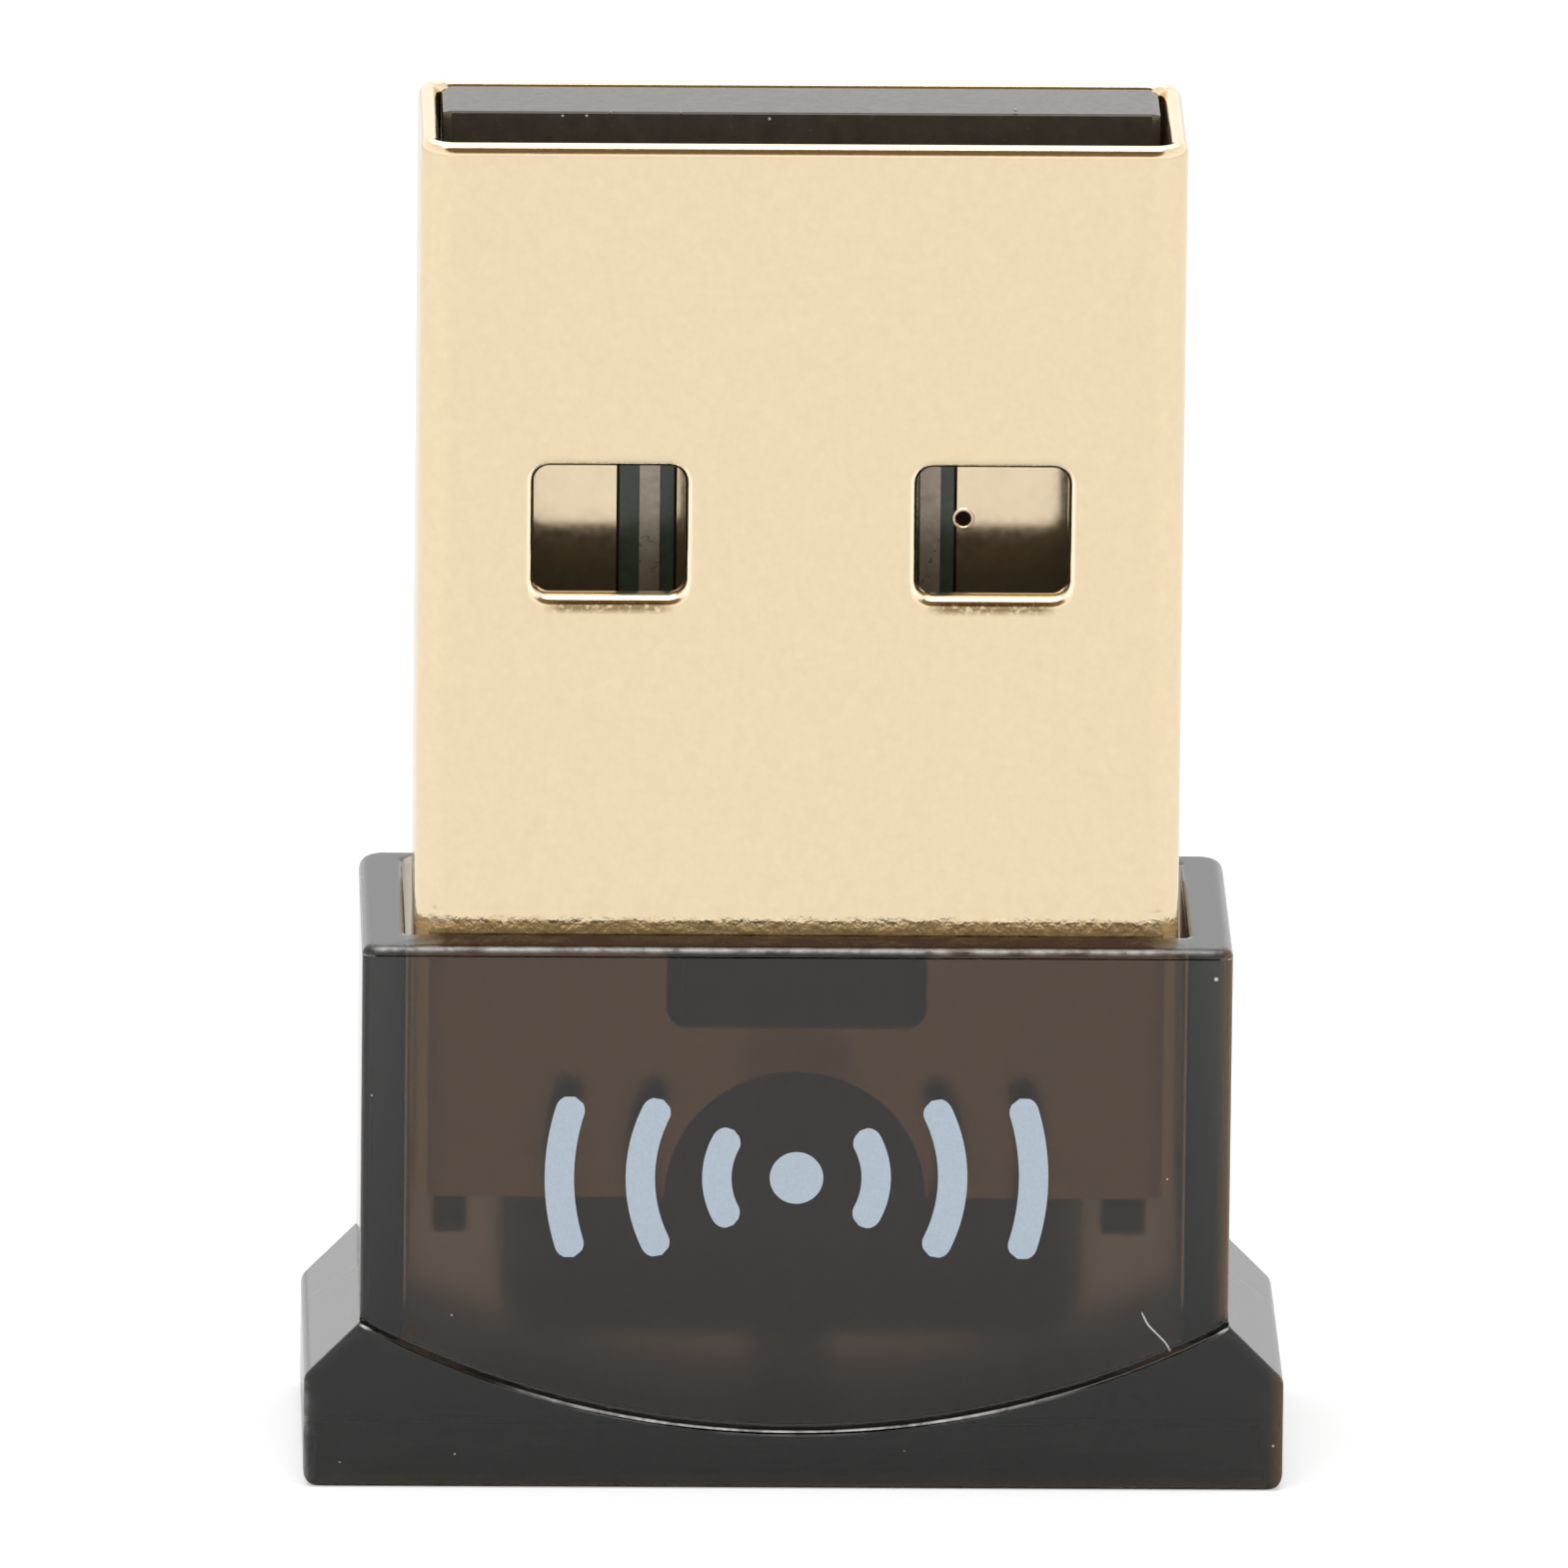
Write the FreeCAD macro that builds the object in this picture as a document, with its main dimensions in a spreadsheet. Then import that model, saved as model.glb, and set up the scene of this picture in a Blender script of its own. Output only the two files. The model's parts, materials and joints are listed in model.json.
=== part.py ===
import FreeCAD, Part
import math
import os
import Sketcher

# Very small USB wireless adapter, standing on its housing with the plug pointing up.
# Millimetres. X is the width, Y the depth with the printed front towards -Y, Z is up.
# The origin is the centre of the footprint, on the surface that the adapter stands on.

doc = FreeCAD.newDocument("UsbAdapter")
size = doc.addObject("Spreadsheet::Sheet", "Size")

DRIVING = [
    # Plug shell, USB standard size A
    ("plug_width", 12.0, "outside width of the shell"),
    ("plug_thickness", 4.5, "outside thickness of the shell"),
    ("plug_length", 12.69, "shell standing out of the housing"),
    ("shell_wall", 0.3, "sheet thickness"),
    ("shell_radius", 0.55, "outside bend radius of the sheet"),
    ("rim_radius", 0.1, "coined edge round the mouth"),
    ("seam_gap", 0.05, "joint of the folded sheet, on the back"),
    ("seam_lock_width", 2.2, "dovetail lock in the seam, wide end"),
    ("seam_lock_height", 1.7, "dovetail lock in the seam"),
    ("seam_lock_drop", 11.3, "middle of the lock below the mouth"),
    # Locking windows of the plug
    ("window_width", 2.44, ""),
    ("window_height", 2.18, ""),
    ("window_spacing", 5.96, "between the centres of a pair"),
    ("window_drop", 5.13, "top of the window below the mouth"),
    ("window_radius", 0.28, ""),
    # Latch windows and notch at the rear of the shell, inside the housing
    ("latch_width", 4.03, ""),
    ("latch_height", 1.28, ""),
    ("latch_drop", 0.16, "latch window below the housing's top"),
    ("notch_radius", 2.05, "round notch in the rear edge"),
    # Black tray that fills the back half of the plug
    ("core_gap", 0.04, "between tray and shell at the back"),
    ("core_side_gap", 0.08, "between tray and shell at each side"),
    ("core_thickness", 1.75, ""),
    ("core_recess", 0.05, "tray's end below the mouth"),
    ("nose_height", 1.0, "solid end of the tray, above the board"),
    ("tray_length", 12.2, "nose and tray, without the feet"),
    ("tray_wall", 1.04, "sides of the tray, beside the board"),
    ("foot_width", 0.6, "each of the tray's two feet"),
    ("foot_drop", 0.7, "feet below the rear edge of the shell"),
    # Circuit board
    ("board_thickness", 0.6, ""),
    ("board_gap", 0.05, "between board and tray"),
    ("board_drop", 2.34, "board below the rear edge of the shell"),
    ("board_radius", 0.9, "lower corners"),
    ("tooling_hole", 0.9, "diameter"),
    ("tooling_hole_rise", 1.95, "centre above the board's lower edge"),
    # Contact pads and what shows beside them
    ("copper", 0.05, "thickness of pads, lines and plating"),
    ("pad_length", 7.3, ""),
    ("pad_set_back", 0.25, "pads below the nose"),
    ("outer_left_margin", 0.38, "outer pads from the board's edges"),
    ("outer_right_margin", 0.23, ""),
    ("outer_left_share", 0.1435, "widths of the pads as shares of the board's"),
    ("inner_left_share", 0.1876, ""),
    ("inner_right_share", 0.1545, ""),
    ("outer_right_share", 0.1987, ""),
    ("inner_left_place", 0.1159, "inner pads from the centre line, as shares of the board's width"),
    ("inner_right_place", 0.1104, ""),
    ("left_trace_place", 0.45, "lines across the gap between two pads, from the inner one"),
    ("right_trace_place", 0.475, ""),
    ("trace_end", 0.6, "lines above the radio chip"),
    ("trace_width", 0.32, ""),
    ("via_outside", 0.46, "ring round the small hole"),
    ("via_hole", 0.28, ""),
    ("via_inset", 0.18, "hole inside the inner edge of its pad"),
    ("via_drop", 6.05, "hole below the mouth"),
    # Housing
    ("wall_side", 0.775, ""),
    ("wall_front", 0.94, ""),
    ("wall_back", 0.3, ""),
    ("slot_gap", 0.05, "between shell and housing"),
    ("slot_radius", 0.5, ""),
    ("body_height", 8.72, ""),
    ("ledge", 0.26, "base in front of the panel"),
    ("ear_width", 0.87, "each ear beyond the body, and its rise"),
    ("ear_side", 1.8, "upright side of the base"),
    ("arc_low", 0.94, "lowest point of the arched ledge"),
    ("floor_drop", 0.16, "pocket's floor below the ledge"),
    ("edge_radius", 0.1, "front and top edges"),
    ("panel_radius", 0.13, "upright edges beside the panel"),
    ("back_radius", 0.4, "upright edges at the back of the body"),
    ("corner_radius", 0.25, "corners of the base"),
    ("rib_width", 0.8, "rib that the board stands on"),
    ("rib_height", 1.38, "rib above the pocket's floor"),
    ("catch_width", 3.6, "snap catches in the latch windows"),
    ("catch_height", 1.0, ""),
    ("catch_reach", 0.3, "catch out of the pocket's wall"),
    ("catch_gap", 0.08, "between catch and shell"),
    # Parts on the board
    ("solder_gap", 0.02, "part above the board"),
    ("chip_side", 4.0, "square radio package"),
    ("chip_thickness", 0.75, ""),
    ("chip_chamfer", 0.25, "corner that marks terminal one"),
    ("chip_drop", 0.91, "package below the contact pads"),
    ("terminal_width", 0.22, ""),
    ("terminal_length", 0.3, ""),
    ("terminal_pitch", 0.5, ""),
    ("crystal_length", 2.5, ""),
    ("crystal_width", 2.0, ""),
    ("crystal_base_thickness", 0.35, ""),
    ("crystal_lid_thickness", 0.2, ""),
    ("lid_margin", 0.15, "lid inside the edge of the base"),
    ("lid_radius", 0.25, ""),
    ("crystal_margin", 0.33, "crystal from the board's left edge"),
    ("crystal_drop", 0.1, "crystal below the radio chip"),
    ("regulator_length", 2.9, ""),
    ("regulator_width", 1.3, ""),
    ("regulator_height", 0.95, ""),
    ("regulator_draft", 0.12, "slope of each side"),
    ("regulator_margin", 0.4, "package from the board's left edge"),
    ("regulator_drop", 2.26, "its middle below the tray"),
    ("lead_width", 0.36, ""),
    ("lead_pitch", 0.95, ""),
    ("lead_reach", 0.55, "lead beyond the package"),
    ("lead_thickness", 0.13, ""),
    ("memory_length", 3.0, ""),
    ("memory_width", 2.0, ""),
    ("memory_height", 0.55, ""),
    ("memory_chamfer", 0.08, ""),
    ("memory_margin", 0.6, "package from the board's right edge"),
    ("memory_drop", 0.46, "package below the tray"),
    ("block_length", 1.0, "ceramic blocks"),
    ("block_width", 0.5, ""),
    ("block_height", 0.5, ""),
    ("resistor_height", 0.32, ""),
    ("resistor_margin", 0.23, "last resistor from the board's right edge"),
    ("resistor_drop", 0.7, "resistors below the radio chip"),
    ("block_pitch", 0.85, ""),
    ("capacitor_pitch", 1.2, ""),
    ("capacitor_side", 0.9, "capacitors beside the radio chip"),
    ("inductor_rise", 1.35, "inductors above the antenna"),
    ("antenna_width", 5.2, ""),
    ("antenna_line", 0.25, ""),
    ("antenna_height", 1.2, ""),
    ("antenna_rise", 0.25, "antenna above the board's lower edge"),
    ("led_length", 1.6, ""),
    ("led_width", 0.8, ""),
    ("led_base_height", 0.3, ""),
    ("led_lens_height", 0.35, ""),
    ("led_lens_length", 1.0, ""),
    ("led_side", 1.2, "lamp from the centre line"),
    ("led_rise", 0.15, "lamp above the antenna"),
    ("led_radius", 0.12, ""),
]

# Lengths that follow from the driving ones.
DERIVED = [
    ("slot_width", "plug_width + 2 * slot_gap"),
    ("slot_depth", "plug_thickness + 2 * slot_gap"),
    ("body_width", "slot_width + 2 * wall_side"),
    ("base_width", "body_width + 2 * ear_width"),
    ("ear_top", "ear_side + ear_width"),
    ("ear_tangent", "0.414213562 * corner_radius"),
    ("base_back_radius", "0.8 * corner_radius"),
    ("total_depth", "ledge + wall_front + slot_depth + wall_back"),
    ("panel_y", "ledge - total_depth / 2"),
    ("plug_y", "panel_y + wall_front + slot_depth / 2"),
    ("shell_front_y", "plug_y - plug_thickness / 2"),
    ("shell_back_y", "plug_y + plug_thickness / 2"),
    ("floor_low", "arc_low - floor_drop"),
    ("board_low", "floor_low + rib_height"),
    ("shell_low", "board_low + board_drop"),
    ("mouth", "body_height + plug_length"),
    ("window_top", "mouth - window_drop"),
    ("latch_low", "body_height - latch_drop - latch_height"),
    ("arc_radius", "(body_width * body_width / 4 + (ear_top - arc_low) * (ear_top - arc_low)) / (2 * (ear_top - arc_low))"),
    ("floor_ends", "floor_low + arc_radius - sqrt(arc_radius * arc_radius - slot_width * slot_width / 4)"),
    ("core_width", "plug_width - 2 * shell_wall - 2 * core_side_gap"),
    ("core_back_y", "shell_back_y - shell_wall - core_gap"),
    ("core_front_y", "core_back_y - core_thickness"),
    ("core_top", "mouth - core_recess"),
    ("tray_low", "core_top - tray_length"),
    ("nose_low", "core_top - nose_height"),
    ("foot_low", "shell_low - foot_drop"),
    ("board_width", "core_width - 2 * tray_wall - 2 * board_gap"),
    ("board_front_y", "core_front_y + copper"),
    ("board_back_y", "board_front_y + board_thickness"),
    ("board_top", "nose_low - board_gap"),
    ("pad_top", "nose_low - pad_set_back"),
    ("pad_low", "pad_top - pad_length"),
    ("outer_left_width", "outer_left_share * board_width"),
    ("inner_left_width", "inner_left_share * board_width"),
    ("inner_right_width", "inner_right_share * board_width"),
    ("outer_right_width", "outer_right_share * board_width"),
    ("outer_left_pad", "board_width / 2 - outer_left_margin - outer_left_width / 2"),
    ("inner_left_pad", "inner_left_place * board_width"),
    ("inner_right_pad", "inner_right_place * board_width"),
    ("outer_right_pad", "board_width / 2 - outer_right_margin - outer_right_width / 2"),
    ("inner_left_edge", "inner_left_pad + inner_left_width / 2"),
    ("inner_right_edge", "inner_right_pad + inner_right_width / 2"),
    ("outer_left_edge", "outer_left_pad - outer_left_width / 2"),
    ("outer_right_edge", "outer_right_pad - outer_right_width / 2"),
    ("left_trace", "inner_left_edge + left_trace_place * (outer_left_edge - inner_left_edge)"),
    ("right_trace", "inner_right_edge + right_trace_place * (outer_right_edge - inner_right_edge)"),
    ("via_side", "outer_right_edge + via_inset"),
    ("via_height", "mouth - via_drop"),
    ("front_parts_y", "board_front_y - solder_gap"),
    ("back_parts_y", "board_back_y + solder_gap"),
    ("chip_low", "pad_low - chip_drop - chip_side"),
    ("crystal_low", "chip_low - crystal_drop - crystal_length"),
    ("resistor_low", "chip_low - resistor_drop - block_length"),
    ("antenna_low", "board_low + antenna_rise"),
    ("antenna_top", "antenna_low + antenna_height"),
]

row = 1
for alias, number, note in DRIVING:
    size.set(f"A{row}", alias)
    size.set(f"B{row}", str(number))
    size.set(f"C{row}", note)
    size.setAlias(f"B{row}", alias)
    row += 1
for alias, formula in DERIVED:
    size.set(f"A{row}", alias)
    size.set(f"B{row}", "=" + formula)
    size.setAlias(f"B{row}", alias)
    row += 1
doc.recompute()


def bound(expression):
    """The expression with every name of the sheet written as a reference to it."""
    names = {entry[0] for entry in DRIVING} | {entry[0] for entry in DERIVED}
    words = []
    word = ""
    for sign in expression + " ":
        if sign.isalnum() or sign == "_":
            word += sign
            continue
        words.append("Size." + word if word in names else word)
        words.append(sign)
        word = ""
    return "".join(words).strip()


def value(expression):
    return float(doc.getObject("Size").evalExpression(bound(expression)))


def bind(target, **properties):
    for name, expression in properties.items():
        target.setExpression(name.replace("__", "."), bound(expression))


# Sketches

def new_sketch(body, name, role, offset="0"):
    """A sketch on one of the body's own origin planes, moved along the plane's normal."""
    sketch = body.newObject("Sketcher::SketchObject", name)
    plane = [f for f in body.Origin.OriginFeatures if f.Role == role][0]
    sketch.AttachmentSupport = [(plane, "")]
    sketch.MapMode = "FlatFace"
    bind(sketch, AttachmentOffset__Base__z=offset)
    return sketch


def constrain(sketch, *arguments, expression=None):
    index = sketch.addConstraint(Sketcher.Constraint(*arguments))
    if expression:
        sketch.setExpression(f"Constraints[{index}]", bound(expression))


def outline(sketch, points, arcs=None):
    """A closed outline through points given as pairs of expressions.

    arcs maps the number of an edge to (radius, side): side is +1 for a curve that bulges to the
    left of the way round, -1 to the right.
    """
    arcs = arcs or {}
    count = len(points)
    corners = [FreeCAD.Vector(value(x), value(y), 0) for x, y in points]
    first = sketch.GeometryCount
    for i, start in enumerate(corners):
        end = corners[(i + 1) % count]
        if i not in arcs:
            sketch.addGeometry(Part.LineSegment(start, end))
            continue
        radius, side = value(arcs[i][0]), arcs[i][1]
        chord = end - start
        left = FreeCAD.Vector(-chord.y, chord.x, 0).normalize()
        rise = radius - math.sqrt(max(radius ** 2 - chord.Length ** 2 / 4, 0.0))
        sketch.addGeometry(Part.Arc(start, (start + end) * 0.5 + left * side * rise, end))
    start_of, end_of = {}, {}
    for i in range(count):
        edge = first + i
        swapped = False
        if i in arcs:
            swapped = (sketch.getPoint(edge, 1) - corners[i]).Length > 1e-6
        start_of[i], end_of[i] = (2, 1) if swapped else (1, 2)
    for i in range(count):
        after = (i + 1) % count
        constrain(sketch, "Coincident", first + i, end_of[i], first + after, start_of[after])
    free_x = [True] * count
    free_y = [True] * count
    for i in range(count):
        after = (i + 1) % count
        if i in arcs:
            continue
        if points[i][0] == points[after][0]:
            constrain(sketch, "Vertical", first + i)
            if after:
                free_x[after] = False
            elif free_x[i]:
                free_x[i] = False
        if points[i][1] == points[after][1]:
            constrain(sketch, "Horizontal", first + i)
            if after:
                free_y[after] = False
            elif free_y[i]:
                free_y[i] = False
    for i, (x, y) in enumerate(points):
        if free_x[i]:
            constrain(sketch, "DistanceX", -1, 1, first + i, start_of[i], corners[i].x, expression=x)
        if free_y[i]:
            constrain(sketch, "DistanceY", -1, 1, first + i, start_of[i], corners[i].y, expression=y)
    for i, (radius, side) in arcs.items():
        constrain(sketch, "Radius", first + i, value(radius), expression=radius)
    return first


def rectangle(sketch, left, right, low, high):
    return outline(sketch, [(left, low), (right, low), (right, high), (left, high)])


def circle(sketch, x, y, diameter):
    centre = FreeCAD.Vector(value(x), value(y), 0)
    first = sketch.addGeometry(Part.Circle(centre, FreeCAD.Vector(0, 0, 1), value(diameter) / 2))
    constrain(sketch, "DistanceX", -1, 1, first, 3, centre.x, expression=x)
    constrain(sketch, "DistanceY", -1, 1, first, 3, centre.y, expression=y)
    constrain(sketch, "Diameter", first, value(diameter), expression=diameter)


# Features

def extrude(body, kind, name, sketch, length, symmetric=False, reverse=False):
    """A Pad or a Pocket; its solid is compared with the one before, so a wrong way round shows."""
    before = body.Shape.Volume if body.Tip else 0.0
    feature = body.newObject(f"PartDesign::{kind}", name)
    feature.Profile = sketch
    feature.SideType = "Symmetric" if symmetric else "One side"
    feature.Reversed = reverse
    bind(feature, Length=length)
    doc.recompute()
    after = body.Shape.Volume
    grew = after - before
    assert (grew > 1e-6) if kind == "Pad" else (grew < -1e-6), f"{name} changed nothing"
    return feature


def fillet(body, name, radius, pick, kind="Fillet"):
    """Round, or chamfer, the edges of the body that pick() chooses."""
    doc.recompute()
    tip = body.Tip
    chosen = [f"Edge{i}" for i, edge in enumerate(tip.Shape.Edges, 1) if pick(edge)]
    assert chosen, f"{name} finds no edge"
    feature = body.newObject(f"PartDesign::{kind}", name)
    feature.Base = (tip, chosen)
    bind(feature, **({"Radius": radius} if kind == "Fillet" else {"Size": radius}))
    doc.recompute()
    return feature


def near(a, b):
    return abs(a - b) < 1e-4


def flat_at(edge, axis, level):
    """Whether the whole edge lies in the plane where the axis has this value."""
    box = edge.BoundBox
    return near(getattr(box, axis + "Min"), level) and near(getattr(box, axis + "Max"), level)


def along(edge, axis):
    """Whether the edge is a straight one along the axis."""
    others = [a for a in "XYZ" if a != axis]
    box = edge.BoundBox
    return all(near(getattr(box, a + "Min"), getattr(box, a + "Max")) for a in others)


def new_body(name):
    body = doc.addObject("PartDesign::Body", name)
    body.Label = name
    return body


def block(name, x, y, z, length, width, height):
    """A box with its lowest corner at x, y, z."""
    box = doc.addObject("Part::Box", name)
    bind(box, Length=length, Width=width, Height=height,
         Placement__Base__x=x, Placement__Base__y=y, Placement__Base__z=z)
    return box


def group(name, members):
    """One sub-part made of several like solids."""
    fused = doc.addObject("Part::MultiFuse", name)
    fused.Label = name
    fused.Shapes = members
    return fused


# Housing: a moulded cup that takes the plug from above

def make_housing():
    body = new_body("housing")

    # Base with two ears, rounded round the back
    base = new_sketch(body, "BaseOutline", "XZ_Plane")
    outline(base, [
        ("-base_width / 2 + corner_radius", "0"),
        ("base_width / 2 - corner_radius", "0"),
        ("base_width / 2", "corner_radius"),
        ("base_width / 2", "ear_side - ear_tangent"),
        ("base_width / 2 - ear_tangent * 0.707106781", "ear_side + ear_tangent * 0.707106781"),
        ("body_width / 2", "ear_top"),
        ("-body_width / 2", "ear_top"),
        ("-base_width / 2 + ear_tangent * 0.707106781", "ear_side + ear_tangent * 0.707106781"),
        ("-base_width / 2", "ear_side - ear_tangent"),
        ("-base_width / 2", "corner_radius"),
    ], arcs={1: ("corner_radius", -1), 3: ("corner_radius", -1),
             7: ("corner_radius", -1), 9: ("corner_radius", -1)})
    extrude(body, "Pad", "BaseBlock", base, "total_depth", symmetric=True)
    front_y = -value("total_depth") / 2
    back_y = value("total_depth") / 2
    ear_top = value("ear_top")
    fillet(body, "BackEdges", "base_back_radius",
           lambda e: flat_at(e, "Y", back_y) and e.BoundBox.ZMin < ear_top - 0.01)

    # Upright body, its back flush with the base
    plan = new_sketch(body, "BodyPlan", "XY_Plane", "ear_side")
    outline(plan, [
        ("-body_width / 2", "panel_y + panel_radius"),
        ("-body_width / 2 + panel_radius", "panel_y"),
        ("body_width / 2 - panel_radius", "panel_y"),
        ("body_width / 2", "panel_y + panel_radius"),
        ("body_width / 2", "total_depth / 2 - back_radius"),
        ("body_width / 2 - back_radius", "total_depth / 2"),
        ("-body_width / 2 + back_radius", "total_depth / 2"),
        ("-body_width / 2", "total_depth / 2 - back_radius"),
    ], arcs={0: ("panel_radius", -1), 2: ("panel_radius", -1),
             4: ("back_radius", -1), 6: ("back_radius", -1)})
    extrude(body, "Pad", "UprightBody", plan, "body_height - ear_side")

    # The flat panel lies behind the base, down to an arc whose own edge stays sharp: a round
    # edge would run out at the ears' thin tips
    panel = new_sketch(body, "PanelOutline", "XZ_Plane", "total_depth / 2")
    outline(panel, [
        ("-body_width / 2", "ear_top"),
        ("body_width / 2", "ear_top"),
        ("body_width / 2", "ear_top + 1"),
        ("-body_width / 2", "ear_top + 1"),
    ], arcs={0: ("arc_radius", -1)})
    extrude(body, "Pocket", "PanelRecess", panel, "ledge")
    body_height = value("body_height")
    body_width = value("body_width")
    fillet(body, "LedgeEdges", "edge_radius",
           lambda e: flat_at(e, "Y", front_y) and not (e.BoundBox.XLength > body_width - 0.01
                                                       and e.BoundBox.ZMin > 0.01))

    # Pocket for the plug and the board, with a floor that follows the ledge's arc
    pocket = new_sketch(body, "PocketOutline", "XZ_Plane", "-plug_y")
    outline(pocket, [
        ("-slot_width / 2", "floor_ends"),
        ("slot_width / 2", "floor_ends"),
        ("slot_width / 2", "body_height + 1"),
        ("-slot_width / 2", "body_height + 1"),
    ], arcs={0: ("arc_radius", -1)})
    extrude(body, "Pocket", "PlugPocket", pocket, "slot_depth", symmetric=True)
    half_slot = value("slot_width") / 2
    fillet(body, "PocketCorners", "slot_radius",
           lambda e: along(e, "Z") and near(abs(e.CenterOfMass.x), half_slot))

    slot_front = value("plug_y - slot_depth / 2")
    slot_back = value("plug_y + slot_depth / 2")
    fillet(body, "TopEdges", "edge_radius",
           lambda e: flat_at(e, "Z", body_height)
           and (abs(e.CenterOfMass.x) > half_slot + 0.01
                or not slot_front - 0.01 < e.CenterOfMass.y < slot_back + 0.01))

    # Rib across the floor, which the board stands on
    rib = new_sketch(body, "RibOutline", "YZ_Plane")
    rectangle(rib, "plug_y - slot_depth / 2 - 0.1", "plug_y + slot_depth / 2 + 0.1",
              "floor_low - 0.1", "board_low")
    extrude(body, "Pad", "BoardRib", rib, "rib_width", symmetric=True)

    # Snap catches, flat below and sloped above, which hold the shell by its latch windows
    catches = new_sketch(body, "CatchOutline", "YZ_Plane")
    for side, wall in (("-", "plug_y - slot_depth / 2"), ("+", "plug_y + slot_depth / 2")):
        inward = "+" if side == "-" else "-"
        root = f"{wall} {side} 0.1"
        outline(catches, [
            (root, "latch_low + catch_gap"),
            (f"{wall} {inward} catch_reach", "latch_low + catch_gap"),
            (f"{wall} {inward} 0.02", "latch_low + catch_gap + catch_height"),
            (root, "latch_low + catch_gap + catch_height + 0.02"),
        ])
    extrude(body, "Pad", "SnapCatches", catches, "catch_width", symmetric=True)
    return body


# Plug shell: one folded sheet, closed by a seam on the back

def make_connector_shell():
    body = new_body("connector_shell")
    ring = new_sketch(body, "ShellSection", "XY_Plane", "shell_low")
    rectangle(ring, "-plug_width / 2", "plug_width / 2", "shell_front_y", "shell_back_y")
    extrude(body, "Pad", "ShellBlock", ring, "mouth - shell_low")
    fillet(body, "ShellBends", "shell_radius", lambda e: along(e, "Z"))
    bore = new_sketch(body, "ShellInside", "XY_Plane", "mouth")
    rectangle(bore, "-plug_width / 2 + shell_wall", "plug_width / 2 - shell_wall",
              "shell_front_y + shell_wall", "shell_back_y - shell_wall")
    extrude(body, "Pocket", "ShellBore", bore, "mouth - shell_low")
    inside = value("plug_width") / 2 - value("shell_wall")
    fillet(body, "InsideBends", "shell_radius - shell_wall",
           lambda e: along(e, "Z") and near(abs(e.CenterOfMass.x), inside))

    # A pair of locking windows in each wide face
    windows = new_sketch(body, "WindowOutline", "XZ_Plane", "-plug_y")
    for middle in ("-window_spacing / 2", "window_spacing / 2"):
        rectangle(windows, f"{middle} - window_width / 2", f"{middle} + window_width / 2",
                  "window_top - window_height", "window_top")
    extrude(body, "Pocket", "LockingWindows", windows, "plug_thickness + 1", symmetric=True)
    window_top = value("window_top")
    window_low = window_top - value("window_height")
    fillet(body, "WindowCorners", "window_radius",
           lambda e: along(e, "Y") and (near(e.CenterOfMass.z, window_top)
                                        or near(e.CenterOfMass.z, window_low)))

    # Latch windows and rear notch, both hidden in the housing
    latch = new_sketch(body, "LatchOutline", "XZ_Plane", "-plug_y")
    rectangle(latch, "-latch_width / 2", "latch_width / 2", "latch_low", "latch_low + latch_height")
    extrude(body, "Pocket", "LatchWindows", latch, "plug_thickness + 1", symmetric=True)
    latch_low = value("latch_low")
    latch_top = latch_low + value("latch_height")
    fillet(body, "LatchCorners", "window_radius",
           lambda e: along(e, "Y") and (near(e.CenterOfMass.z, latch_low)
                                        or near(e.CenterOfMass.z, latch_top)))
    notch = new_sketch(body, "NotchOutline", "XZ_Plane", "-plug_y")
    circle(notch, "0", "shell_low", "2 * notch_radius")
    extrude(body, "Pocket", "RearNotch", notch, "plug_thickness + 1", symmetric=True)

    # Seam down the back with one dovetail that locks the two edges of the sheet
    seam = new_sketch(body, "SeamOutline", "XZ_Plane", "-shell_back_y")
    lock = "mouth - seam_lock_drop"
    neck = "seam_lock_width * 0.3"
    half = "seam_gap / 2"
    low = f"{lock} - seam_lock_height / 2"
    high = f"{lock} + seam_lock_height / 2"
    outline(seam, [
        (f"0 - {half}", "shell_low - 1"),
        (half, "shell_low - 1"),
        (half, f"{low} - {half} + seam_lock_width * 0.1"),
        (f"seam_lock_width / 2 + {half}", f"{low} - {half}"),
        (f"seam_lock_width / 2 + {half}", f"{high} + {half}"),
        (half, f"{high} + {half} - seam_lock_width * 0.1"),
        (half, "mouth + 1"),
        (f"0 - {half}", "mouth + 1"),
        (f"0 - {half}", f"{high} - {half} - seam_lock_width * 0.1"),
        (f"seam_lock_width / 2 - {half}", f"{high} - {half}"),
        (f"seam_lock_width / 2 - {half}", f"{low} + {half}"),
        (f"0 - {half}", f"{low} + {half} + seam_lock_width * 0.1"),
    ])
    extrude(body, "Pocket", "BackSeam", seam, "2 * shell_wall", symmetric=True)

    mouth = value("mouth")
    half_width = value("plug_width") / 2
    seam_half = value("seam_gap") / 2
    fillet(body, "MouthRim", "rim_radius",
           lambda e: flat_at(e, "Z", mouth) and not near(abs(e.CenterOfMass.x), seam_half))
    return body


# Black tray: a solid nose at the mouth, a shallow tray behind the board, two feet

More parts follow.
